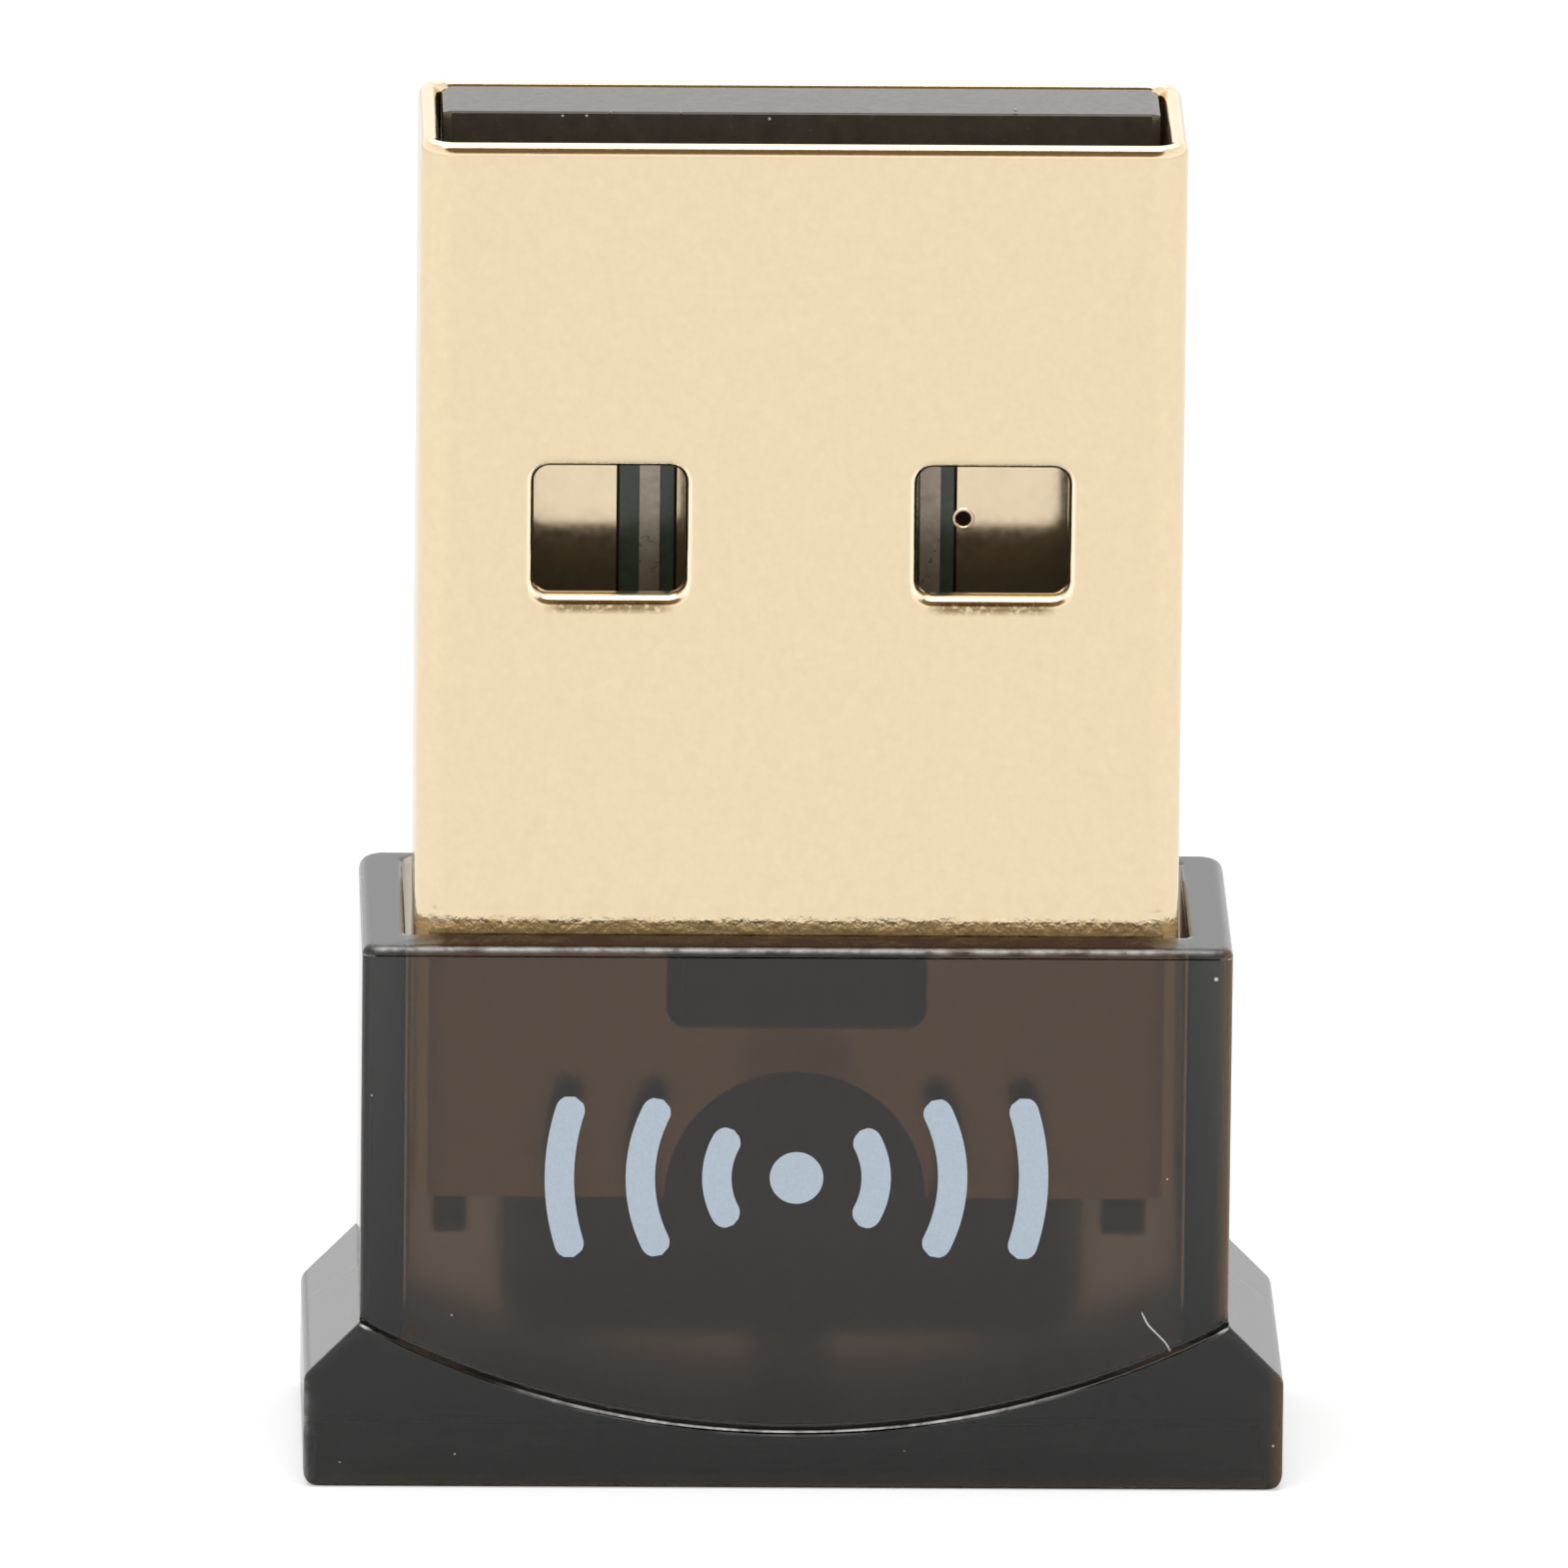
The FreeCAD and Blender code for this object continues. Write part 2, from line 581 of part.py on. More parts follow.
def make_connector_core():
    body = new_body("connector_core")
    front = new_sketch(body, "CoreOutline", "XZ_Plane", "-core_back_y")
    outline(front, [
        ("-core_width / 2", "foot_low"),
        ("-core_width / 2 + foot_width", "foot_low"),
        ("-core_width / 2 + foot_width", "tray_low"),
        ("core_width / 2 - foot_width", "tray_low"),
        ("core_width / 2 - foot_width", "foot_low"),
        ("core_width / 2", "foot_low"),
        ("core_width / 2", "core_top"),
        ("-core_width / 2", "core_top"),
    ])
    extrude(body, "Pad", "CoreBlock", front, "core_thickness")
    tray = new_sketch(body, "TrayOutline", "XZ_Plane", "-core_front_y")
    rectangle(tray, "-board_width / 2 - board_gap", "board_width / 2 + board_gap",
              "tray_low - 1", "nose_low")
    extrude(body, "Pocket", "BoardTray", tray, "copper + board_thickness + board_gap")
    half = value("core_width") / 2
    back_y = value("core_back_y")
    front_y = value("core_front_y")
    core_top = value("core_top")
    fillet(body, "NoseCorners", "shell_radius - shell_wall",
           lambda e: (along(e, "Y") and near(abs(e.CenterOfMass.x), half)
                      and near(e.CenterOfMass.z, core_top))
           or (along(e, "Z") and near(abs(e.CenterOfMass.x), half)
               and near(e.CenterOfMass.y, back_y)))
    fillet(body, "NoseEdges", "edge_radius",
           lambda e: along(e, "X") and near(e.CenterOfMass.z, core_top)
           and near(e.CenterOfMass.y, front_y))
    return body


# Circuit board, in the tray and standing on the housing's rib

def make_circuit_board():
    body = new_body("circuit_board")
    front = new_sketch(body, "BoardOutline", "XZ_Plane", "-board_back_y")
    rectangle(front, "-board_width / 2", "board_width / 2", "board_low", "board_top")
    circle(front, "0", "board_low + tooling_hole_rise", "tooling_hole")
    circle(front, "via_side", "via_height", "via_outside")
    extrude(body, "Pad", "BoardBlank", front, "board_thickness")
    board_low = value("board_low")
    fillet(body, "BoardCorners", "board_radius",
           lambda e: along(e, "Y") and near(e.CenterOfMass.z, board_low))
    return body


# Copper on the board's front: four pads, two lines, and the plated hole in the last pad

def make_contact_pads():
    members = []
    for name, sign in (("outer_left", "-"), ("inner_left", "-"),
                       ("inner_right", "+"), ("outer_right", "+")):
        members.append(block(f"{name.title().replace('_', '')}Pad",
                             f"0 {sign} {name}_pad - {name}_width / 2", "board_front_y - copper",
                             "pad_low", f"{name}_width", "copper", "pad_length"))
    hole = doc.addObject("Part::Cylinder", "PadHole")
    bind(hole, Radius="via_outside / 2", Height="3 * copper", Placement__Base__x="via_side",
         Placement__Base__y="board_front_y + copper", Placement__Base__z="via_height")
    hole.Placement.Rotation = FreeCAD.Rotation(FreeCAD.Vector(1, 0, 0), 90)
    last = doc.addObject("Part::Cut", "PadWithHole")
    last.Base = members[-1]
    last.Tool = hole
    return group("contact_pads", members[:-1] + [last])


def make_signal_traces():
    lines = [block(name, f"{middle} - trace_width / 2", "board_front_y - copper",
                   "chip_low + chip_side + trace_end", "trace_width", "copper",
                   "pad_top - chip_low - chip_side - trace_end")
             for name, middle in (("LeftTrace", "0 - left_trace"), ("RightTrace", "right_trace"))]
    return group("signal_traces", lines)


def make_plated_via():
    body = new_body("plated_via")
    ring = new_sketch(body, "ViaSection", "XZ_Plane", "-board_back_y")
    circle(ring, "via_side", "via_height", "via_outside")
    circle(ring, "via_side", "via_height", "via_hole")
    extrude(body, "Pad", "ViaBarrel", ring, "board_thickness + copper")
    return body


# Radio chip on the front of the board, deeper than a socket's tongue reaches

def make_radio_chip():
    body = new_body("radio_chip")
    front = new_sketch(body, "ChipOutline", "XZ_Plane", "-front_parts_y + copper")
    rectangle(front, "-chip_side / 2", "chip_side / 2", "chip_low", "chip_low + chip_side")
    extrude(body, "Pad", "ChipBlock", front, "chip_thickness")
    left = -value("chip_side") / 2
    top = value("chip_low") + value("chip_side")
    fillet(body, "CornerMark", "chip_chamfer",
           lambda e: along(e, "Y") and near(e.CenterOfMass.x, left)
           and near(e.CenterOfMass.z, top), kind="Chamfer")
    return body


def make_chip_terminals():
    """Rows of terminals along the four sides, between the package and the board."""
    count = 6
    members = []
    for number in range(count):
        step = f"({number} - {(count - 1) / 2}) * terminal_pitch"
        for side, edge in (("Left", "-chip_side / 2"), ("Right", "chip_side / 2 - terminal_length")):
            members.append(block(f"Terminal{side}{number}", edge, "front_parts_y - copper",
                                 f"chip_low + chip_side / 2 + {step} - terminal_width / 2",
                                 "terminal_length", "copper", "terminal_width"))
        for side, edge in (("Low", "chip_low"), ("High", "chip_low + chip_side - terminal_length")):
            members.append(block(f"Terminal{side}{number}", f"{step} - terminal_width / 2",
                                 "front_parts_y - copper", edge,
                                 "terminal_width", "copper", "terminal_length"))
    return group("chip_terminals", members)


# Clock crystal: ceramic base with a thin metal lid

def make_crystal():
    base = new_body("crystal_base")
    front = new_sketch(base, "CrystalOutline", "XZ_Plane", "-front_parts_y")
    left = "-board_width / 2 + crystal_margin"
    rectangle(front, left, f"{left} + crystal_width",
              "crystal_low", "crystal_low + crystal_length")
    extrude(base, "Pad", "CrystalCeramic", front, "crystal_base_thickness")
    lid = new_body("crystal_lid")
    front = new_sketch(lid, "LidOutline", "XZ_Plane", "-front_parts_y + crystal_base_thickness")
    rectangle(front, f"{left} + lid_margin", f"{left} + crystal_width - lid_margin",
              "crystal_low + lid_margin", "crystal_low + crystal_length - lid_margin")
    extrude(lid, "Pad", "LidPlate", front, "crystal_lid_thickness")
    fillet(lid, "LidCorners", "lid_radius", lambda e: along(e, "Y"))
    return base, lid


# Regulator on the back of the board: drafted package with five bent leads

def make_regulator():
    middle_x = "-board_width / 2 + regulator_margin + regulator_length / 2"
    middle_z = "tray_low - regulator_drop"
    body = new_body("regulator_body")
    foot = new_sketch(body, "RegulatorFoot", "XZ_Plane", "-back_parts_y - copper")
    rectangle(foot, f"{middle_x} - regulator_length / 2", f"{middle_x} + regulator_length / 2",
              f"{middle_z} - regulator_width / 2", f"{middle_z} + regulator_width / 2")
    head = new_sketch(body, "RegulatorHead", "XZ_Plane",
                      "-back_parts_y - copper - regulator_height")
    rectangle(head, f"{middle_x} - regulator_length / 2 + regulator_draft",
              f"{middle_x} + regulator_length / 2 - regulator_draft",
              f"{middle_z} - regulator_width / 2 + regulator_draft",
              f"{middle_z} + regulator_width / 2 - regulator_draft")
    package = body.newObject("PartDesign::AdditiveLoft", "RegulatorPackage")
    package.Profile = foot
    package.Sections = [head]

    # Each lead leaves the package half way up, drops to the board and runs out flat
    members = []
    knee = "regulator_height / 2"
    for side, places in (("-", (-1, 0, 1)), ("+", (-1, 1))):
        wall = f"{middle_z} {side} regulator_width / 2"
        for place in places:
            x = f"{middle_x} + {place} * lead_pitch - lead_width / 2"
            name = f"Lead{'Low' if side == '-' else 'High'}{place + 1}"
            drop_low = f"{wall} {side} lead_reach / 2" + (" - lead_thickness" if side == "-" else "")
            out_low = f"{wall} {side} lead_reach" if side == "-" else f"{wall} + lead_reach / 2"
            in_low = f"{wall} - lead_reach / 2" if side == "-" else wall
            members.append(group(name, [
                block(name + "Foot", x, "back_parts_y", out_low,
                      "lead_width", "lead_thickness", "lead_reach / 2"),
                block(name + "Drop", x, "back_parts_y", drop_low,
                      "lead_width", f"{knee} + lead_thickness", "lead_thickness"),
                block(name + "Root", x, f"back_parts_y + {knee}", in_low,
                      "lead_width", "lead_thickness", "lead_reach / 2"),
            ]))
    leads = group("regulator_leads", members)
    return body, leads


# Other parts on the board

def make_memory_chip():
    body = new_body("memory_chip")
    front = new_sketch(body, "MemoryOutline", "XZ_Plane", "-back_parts_y")
    right = "board_width / 2 - memory_margin"
    top = "tray_low - memory_drop"
    rectangle(front, f"{right} - memory_width", right, f"{top} - memory_length", top)
    extrude(body, "Pad", "MemoryBlock", front, "memory_height", reverse=True)
    back_y = value("back_parts_y + memory_height")
    fillet(body, "MemoryEdge", "memory_chamfer", lambda e: flat_at(e, "Y", back_y), kind="Chamfer")
    return body


def make_capacitors():
    """Six blocks on the front, in a column on each side of the radio chip."""
    members = []
    for number in range(3):
        for side in ("Left", "Right"):
            x = ("-chip_side / 2 - capacitor_side - block_width" if side == "Left"
                 else "chip_side / 2 + capacitor_side")
            middle = f"chip_low + chip_side / 2 + {number - 1} * capacitor_pitch"
            members.append(block(f"Capacitor{side}{number}", x, "front_parts_y - block_height",
                                 f"{middle} - block_length / 2",
                                 "block_width", "block_height", "block_length"))
    return group("capacitors", members)


def make_resistors():
    members = [block(f"Resistor{number}",
                     f"board_width / 2 - resistor_margin - block_width - {number} * block_pitch",
                     "front_parts_y - resistor_height", "resistor_low",
                     "block_width", "resistor_height", "block_length") for number in range(3)]
    return group("resistors", members)


def make_rf_inductors():
    members = [block(f"Inductor{number}", "-block_length / 2", "back_parts_y",
                     f"antenna_top + inductor_rise + {number} * block_pitch",
                     "block_length", "block_height", "block_width") for number in range(2)]
    return group("rf_inductors", members)


def make_antenna_trace():
    """Meander of upright bars, joined above and below by turns."""
    bars = 9
    pitch = f"(antenna_width - antenna_line) / {bars - 1}"
    left = "-antenna_width / 2"
    low = "antenna_low"
    members = []
    for number in range(bars):
        x = f"{left} + {number} * {pitch}"
        members.append(block(f"AntennaBar{number}", x, "board_back_y", low,
                             "antenna_line", "copper", "antenna_height"))
        if number < bars - 1:
            turn = low if number % 2 else f"{low} + antenna_height - antenna_line"
            members.append(block(f"AntennaTurn{number}", x, "board_back_y", turn,
                                 f"{pitch} + antenna_line", "copper", "antenna_line"))
    return group("antenna_trace", members)


def make_status_led():
    base = new_body("led_base")
    middle_x = "led_side"
    low = "antenna_top + led_rise"
    front = new_sketch(base, "LedBaseOutline", "XZ_Plane", "-back_parts_y")
    rectangle(front, f"{middle_x} - led_width / 2", f"{middle_x} + led_width / 2",
              low, f"{low} + led_length")
    extrude(base, "Pad", "LedBoard", front, "led_base_height", reverse=True)
    lens = new_body("led_lens")
    front = new_sketch(lens, "LedLensOutline", "XZ_Plane", "-back_parts_y - led_base_height")
    middle_z = f"{low} + led_length / 2"
    rectangle(front, f"{middle_x} - led_width / 2", f"{middle_x} + led_width / 2",
              f"{middle_z} - led_lens_length / 2", f"{middle_z} + led_lens_length / 2")
    extrude(lens, "Pad", "LedLensBlock", front, "led_lens_height", reverse=True)
    top_y = value("back_parts_y + led_base_height + led_lens_height")
    fillet(lens, "LedLensEdge", "led_radius", lambda e: flat_at(e, "Y", top_y))
    return base, lens


parts = [
    make_housing(),
    make_connector_shell(),
    make_connector_core(),
    make_circuit_board(),
    make_contact_pads(),
    make_signal_traces(),
    make_plated_via(),
    make_radio_chip(),
    make_chip_terminals(),
    *make_crystal(),
    *make_regulator(),
    make_memory_chip(),
    make_capacitors(),
    make_resistors(),
    make_rf_inductors(),
    make_antenna_trace(),
    *make_status_led(),
]
doc.recompute()

for thing in doc.Objects:
    if "Invalid" in thing.State or "Error" in thing.State:
        raise RuntimeError(f"{thing.Name} failed: {thing.State}")
for part in parts:
    if part.Shape.isNull() or not part.Shape.isValid() or not part.Shape.Solids:
        raise RuntimeError(f"{part.Label} has no valid solid")
    if part.TypeId == "PartDesign::Body" and len(part.Shape.Solids) != 1:
        raise RuntimeError(f"{part.Label} is in {len(part.Shape.Solids)} pieces")

os.makedirs("parts", exist_ok=True)
for part in parts:
    part.Shape.exportStep(f"parts/{part.Label}.step")
    box = part.Shape.BoundBox
    print(f"{part.Label:18s} {len(part.Shape.Solids):2d} solids  {part.Shape.Volume:8.3f} mm3  "
          f"x {box.XMin:.2f}..{box.XMax:.2f}  y {box.YMin:.2f}..{box.YMax:.2f}  "
          f"z {box.ZMin:.2f}..{box.ZMax:.2f}")
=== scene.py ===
# %% [markdown]
# # A very small wireless adapter with a gold-plated plug
# The object is 21 mm high. A smoke-coloured, clear housing is moulded as a cup with two sloped
# grip ears, and a folded, gold-plated plug shell stands in it. Inside sit a black tray and a
# green circuit board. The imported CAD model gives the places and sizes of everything; this
# script gives each piece its final surface, material and light.

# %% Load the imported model
import json
import math

import bmesh
import bpy
import numpy as np
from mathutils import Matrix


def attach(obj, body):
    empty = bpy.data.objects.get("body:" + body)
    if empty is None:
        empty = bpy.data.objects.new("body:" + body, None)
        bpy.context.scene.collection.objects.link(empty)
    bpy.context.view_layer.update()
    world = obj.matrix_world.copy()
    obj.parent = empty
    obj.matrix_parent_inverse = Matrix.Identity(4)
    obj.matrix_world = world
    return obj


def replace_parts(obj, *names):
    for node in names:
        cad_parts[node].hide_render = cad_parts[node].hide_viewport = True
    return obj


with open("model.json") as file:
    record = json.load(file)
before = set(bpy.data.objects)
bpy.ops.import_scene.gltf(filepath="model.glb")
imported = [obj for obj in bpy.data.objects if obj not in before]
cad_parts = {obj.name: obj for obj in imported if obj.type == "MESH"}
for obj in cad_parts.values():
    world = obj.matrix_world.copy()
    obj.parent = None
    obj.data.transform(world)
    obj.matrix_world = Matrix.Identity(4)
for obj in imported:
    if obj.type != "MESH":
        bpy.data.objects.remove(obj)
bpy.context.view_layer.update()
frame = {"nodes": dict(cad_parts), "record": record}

MM = 0.001


def placed(name, data):
    made = bpy.data.objects.new(name, data)
    bpy.context.collection.objects.link(made)
    return made



# %% [markdown]
# ## Camera
# The picture was taken with a long lens from a little above. Edges measured in it give the aim
# point, the angles, the distance and the focal length, all in the object's own millimetres.
# The same numbers can then turn a pixel of the picture into a point on the object, which is
# how the small marks find their places later.

# %% Camera from the measured edges
IMAGE_SIDE = 1569
FOCAL_PIXELS = 38765.0
ELEVATION, TURN, ROLL = np.radians([14.80, 1.32, 0.612])
AIM = np.array([-0.175, 0.45, 10.531])
DISTANCE = 609.3

towards_camera = np.array([-math.sin(TURN) * math.cos(ELEVATION),
                           -math.cos(TURN) * math.cos(ELEVATION), math.sin(ELEVATION)])
level_right = np.cross(-towards_camera, [0.0, 0.0, 1.0])
level_right /= np.linalg.norm(level_right)
level_up = np.cross(level_right, -towards_camera)
camera_right = math.cos(ROLL) * level_right + math.sin(ROLL) * level_up
camera_up = -math.sin(ROLL) * level_right + math.cos(ROLL) * level_up
camera_place = AIM + towards_camera * DISTANCE

camera_data = bpy.data.cameras.new("camera")
camera_data.sensor_width = 36.0
camera_data.lens = FOCAL_PIXELS * camera_data.sensor_width / IMAGE_SIDE
camera_data.clip_start, camera_data.clip_end = 0.01, 20.0
camera = placed("camera", camera_data)
turned = np.eye(4)
turned[:3] = np.column_stack([camera_right, camera_up, towards_camera, camera_place * MM])
camera.matrix_world = turned.T.tolist()
bpy.context.scene.camera = camera
print("lens in mm:", round(camera_data.lens, 1))


def on_plane(across, down, level):
    """The point in mm where the line of sight through a pixel meets the plane y = level.

    The line's direction is forward * focal length + right * across - up * down.
    """
    half = IMAGE_SIDE / 2
    line = (-towards_camera * FOCAL_PIXELS + camera_right * (across - half)
            - camera_up * (down - half))
    return camera_place + line * (level - camera_place[1]) / line[1]


# %% [markdown]
# ## A short way to write node trees
# A material is a small calculation here: noise on the object's own coordinates, a few sums and
# colours, one or more shaders. The class below has one short method for each such step.

# %% Recipes
WHITE = (1.0, 1.0, 1.0)


class Recipe:
    """The node tree of a material or a world, with a method for each step used here."""

    def __init__(self, owner):
        owner.use_nodes = True
        self.owner, self.tree = owner, owner.node_tree
        self.tree.nodes.clear()

    def node(self, kind, sockets=(), **settings):
        """A new node. Each input gets another node, one of its outputs or a plain value."""
        node = self.tree.nodes.new("ShaderNode" + kind)
        for name, value in settings.items():
            setattr(node, name, value)
        for key, value in dict(sockets).items():
            socket = node.inputs[key]
            if isinstance(value, bpy.types.Node):
                value = value.outputs[0]
            if isinstance(value, bpy.types.NodeSocket):
                self.tree.links.new(value, socket)
            else:
                socket.default_value = (*value, 1) if socket.type == "RGBA" else value
        return node

    def math(self, operation, first, second=0.0, clamp=False):
        return self.node("Math", {0: first, 1: second}, operation=operation, use_clamp=clamp).outputs[0]

    def add(self, first, second, clamp=False):
        return self.math("ADD", first, second, clamp)

    def minus(self, first, second):
        return self.math("SUBTRACT", first, second)

    def times(self, first, second):
        return self.math("MULTIPLY", first, second)

    def spread(self, value, low, high, start=0.3, end=0.7, **settings):
        """Maps the range start to end of a value onto low to high."""
        sockets = {"Value": value, "From Min": start, "From Max": end, "To Min": low, "To Max": high}
        return self.node("MapRange", sockets, **settings).outputs["Result"]

    def place(self, kind="Object"):
        return self.node("TexCoord").outputs[kind]

    def axes(self, kind="Object"):
        """The x, y and z of each point, as three outputs."""
        return self.node("SeparateXYZ", {0: self.place(kind)}).outputs

    def distance(self, x, y, z):
        """Length of the vector (x, y, z)."""
        vector = self.node("CombineXYZ", {0: x, 1: y, 2: z})
        return self.node("VectorMath", {0: vector}, operation="LENGTH").outputs["Value"]

    def mark(self, name):
        """A number that was stored on the mesh's points."""
        return self.node("Attribute", attribute_name=name).outputs["Fac"]

    def noise(self, scale, detail=2.0, roughness=0.5):
        """Noise on Object coordinates; scale is in waves per metre."""
        sockets = {"Vector": self.place(), "Scale": scale, "Detail": detail, "Roughness": roughness}
        return self.node("TexNoise", sockets).outputs["Fac"]

    def mix(self, factor, first, second):
        """A colour that goes from first to second as the factor goes from 0 to 1."""
        mixed = self.node("Mix", {"Factor": factor, "A": first, "B": second}, data_type="RGBA")
        return mixed.outputs["Result"]

    def bump(self, height, distance):
        return self.node("Bump", {"Height": height, "Distance": distance, "Strength": 1.0}).outputs[0]

    def principled(self, **sockets):
        """The principled shader; an underscore in a name stands for a space."""
        sockets = {name.replace("_", " "): value for name, value in sockets.items()}
        return self.node("BsdfPrincipled", sockets)

    def finish(self, **shaders):
        """Joins the last shaders to the output and gives the material or world back."""
        is_world = isinstance(self.owner, bpy.types.World)
        self.node("OutputWorld" if is_world else "OutputMaterial", shaders)
        return self.owner


def recipe(name):
    return Recipe(bpy.data.materials.new(name))


# %% [markdown]
# ## Stage and light
# The object was photographed on white paper under a large soft light above it. The
# metal's edges show that the room in front, above the camera, is darker: each rolled rim has a
# white line and a brown one beside it. So the white world gets a dim patch there and a bright
# one above the back, for gloss rays only. The camera and the clear plastic see plain white, and a
# lamp above makes the soft shadow. The paper is lifted to white for the camera, and a little
# for gloss and clear plastic, so that the metal mirrors white paper too: more of it at the
# sides, where white cards stood, and none right under the object.

# %% Floor
PAPER = (0.9, 0.9, 0.9)
CAMERA_LIFT, NEAR_LIFT, CARD_LIFT = 0.34, 0.08, 0.12
FLOOR_REACH = 3.0

paper = recipe("white_paper")
rays = paper.node("LightPath").outputs
mirrored = paper.math("MAXIMUM", rays["Is Glossy Ray"], rays["Is Transmission Ray"])
clear_of_object = paper.spread(paper.distance(*paper.axes()), 0.0, 1.0, 0.010, 0.018)
sideways = paper.math("ABSOLUTE", paper.axes()["X"])
cards = paper.spread(sideways, NEAR_LIFT, CARD_LIFT, 0.016, 0.045)
lift = paper.add(paper.times(rays["Is Camera Ray"], CAMERA_LIFT),
                 paper.times(paper.times(mirrored, clear_of_object), cards))
both = paper.node("AddShader", {0: paper.node("BsdfDiffuse", {"Color": PAPER}),
                                1: paper.node("Emission", {"Strength": lift})})

floor_mesh = bpy.data.meshes.new("floor")
corners = [(x * FLOOR_REACH, y * FLOOR_REACH, 0) for x, y in ((-1, -1), (1, -1), (1, 1), (-1, 1))]
floor_mesh.from_pydata(corners, [], [(0, 1, 2, 3)])
floor_mesh.materials.append(paper.finish(Surface=both))
floor = placed("floor", floor_mesh)

# %% World: white, with a dim patch in front and a bright one behind that only gloss rays see
ROOM_LIGHT, LEVEL_LIGHT, TOP_LIGHT = 0.70, 1.22, 0.90
DIM_SHARE, BRIGHT_SHARE = 0.82, 0.9
WARM = (1.0, 0.68, 0.36)

room = Recipe(bpy.data.worlds.new("white_room"))
rays = room.node("LightPath").outputs
direction = room.place("Generated")


def sky_patch(elevation, start, full):
    """0 to 1 as a direction nears the one at this elevation in front (over 90: behind)."""
    angle = math.radians(elevation)
    middle = (0.0, -math.cos(angle), math.sin(angle))
    nearness = room.node("VectorMath", {0: direction, 1: middle}, operation="DOT_PRODUCT")
    return room.spread(nearness.outputs["Value"], 0.0, 1.0, start, full, interpolation_type="SMOOTHSTEP")


dim, bright = sky_patch(45, 0.80, 0.92), sky_patch(118, 0.72, 0.92)
walls = room.spread(room.axes("Generated")["Z"], LEVEL_LIGHT, TOP_LIGHT, 0.1, 1.0)
mirrored = room.add(room.times(walls, room.minus(1.0, room.times(dim, DIM_SHARE))),
                    room.times(bright, BRIGHT_SHARE))
plain = room.math("MAXIMUM", rays["Is Camera Ray"], rays["Is Transmission Ray"])
gloss = room.times(rays["Is Glossy Ray"], room.minus(mirrored, ROOM_LIGHT))
strength = room.add(room.add(room.times(plain, 1 - ROOM_LIGHT), gloss), ROOM_LIGHT)
tint = room.mix(room.times(dim, rays["Is Glossy Ray"]), WHITE, WARM)
bpy.context.scene.world = room.finish(
    Surface=room.node("Background", {"Color": tint, "Strength": strength}))
bpy.context.scene.view_settings.view_transform = "Standard"

# %% Soft lamp above
lamp_data = bpy.data.lights.new("soft_lamp", "AREA")
lamp_data.shape = "RECTANGLE"
lamp_data.size, lamp_data.size_y = 0.62, 0.42
lamp_data.energy = 1.6
lamp = placed("soft_lamp", lamp_data)
lamp.location = (-0.05, -0.10, 0.60)
lamp.rotation_euler = (math.radians(9.5), math.radians(-4.8), 0)
print("lamp in W:", lamp_data.energy)

# %% [markdown]
# ## From grids of points to closed pieces
# Every new piece is made of grids of points worked out with numpy. Neighbouring grids share
# their border points, so joining equal points closes the piece. Blender can then turn all
# faces outwards and mark the edges that are meant to look sharp.

# %% Grids, joining and shading
SHARP_ANGLE = 38.0
QUARTER = np.radians(np.arange(0, 91, 15))


def rounding(radius):
    """Steps over a rounded edge: how far each lies inside the edge's two faces."""
    return [(radius * (1 - math.sin(a)), radius * (1 - math.cos(a))) for a in QUARTER]


def points_of(*axes):
    """Points from their coordinates; an axis may be one number for all points."""
    return np.stack(np.broadcast_arrays(*axes), -1)


def whole_turn(sides):
    return np.linspace(0, 2 * math.pi, sides + 1)[:-1]


def quads_of(rows, columns, closed):
    """Corner numbers of a grid's quads; in a closed grid the last column meets the first."""
    row = np.arange(rows - 1)[:, None]
    column = np.arange(columns if closed else columns - 1)[None, :]
    after = (column + 1) % columns
    corners = [row * columns + column, row * columns + after,
               (row + 1) * columns + after, (row + 1) * columns + column]
    return np.stack(corners, -1).reshape(-1, 4)


def piece_of(name, grids, finish):
    """One closed piece from grids given as (points in mm, closed); rides on the body."""
    points, faces, count = [], [], 0
    for grid, closed in grids:
        rows, columns = grid.shape[:2]
        faces.append(quads_of(rows, columns, closed) + count)
        points.append(grid.reshape(-1, 3))
        count += rows * columns
    mesh = bpy.data.meshes.new(name)
    mesh.from_pydata((np.concatenate(points) * MM).tolist(), [], np.concatenate(faces).tolist())
    editor = bmesh.new()
    editor.from_mesh(mesh)
    bmesh.ops.remove_doubles(editor, verts=editor.verts, dist=1e-7)
    bmesh.ops.dissolve_degenerate(editor, edges=editor.edges, dist=1e-8)
    bmesh.ops.recalc_face_normals(editor, faces=editor.faces)
    open_edges = sum(1 for edge in editor.edges if len(edge.link_faces) != 2)
    volume = editor.calc_volume() / MM ** 3
    editor.to_mesh(mesh)
    editor.free()
    mesh.shade_smooth()
    mesh.set_sharp_from_angle(angle=math.radians(SHARP_ANGLE))
    mesh.materials.append(finish)
    piece = placed(name, mesh)
    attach(piece, "root")
    print(f"{name}: {len(mesh.polygons)} faces, {open_edges} open edges, {volume:.3f} mm3")
    return piece
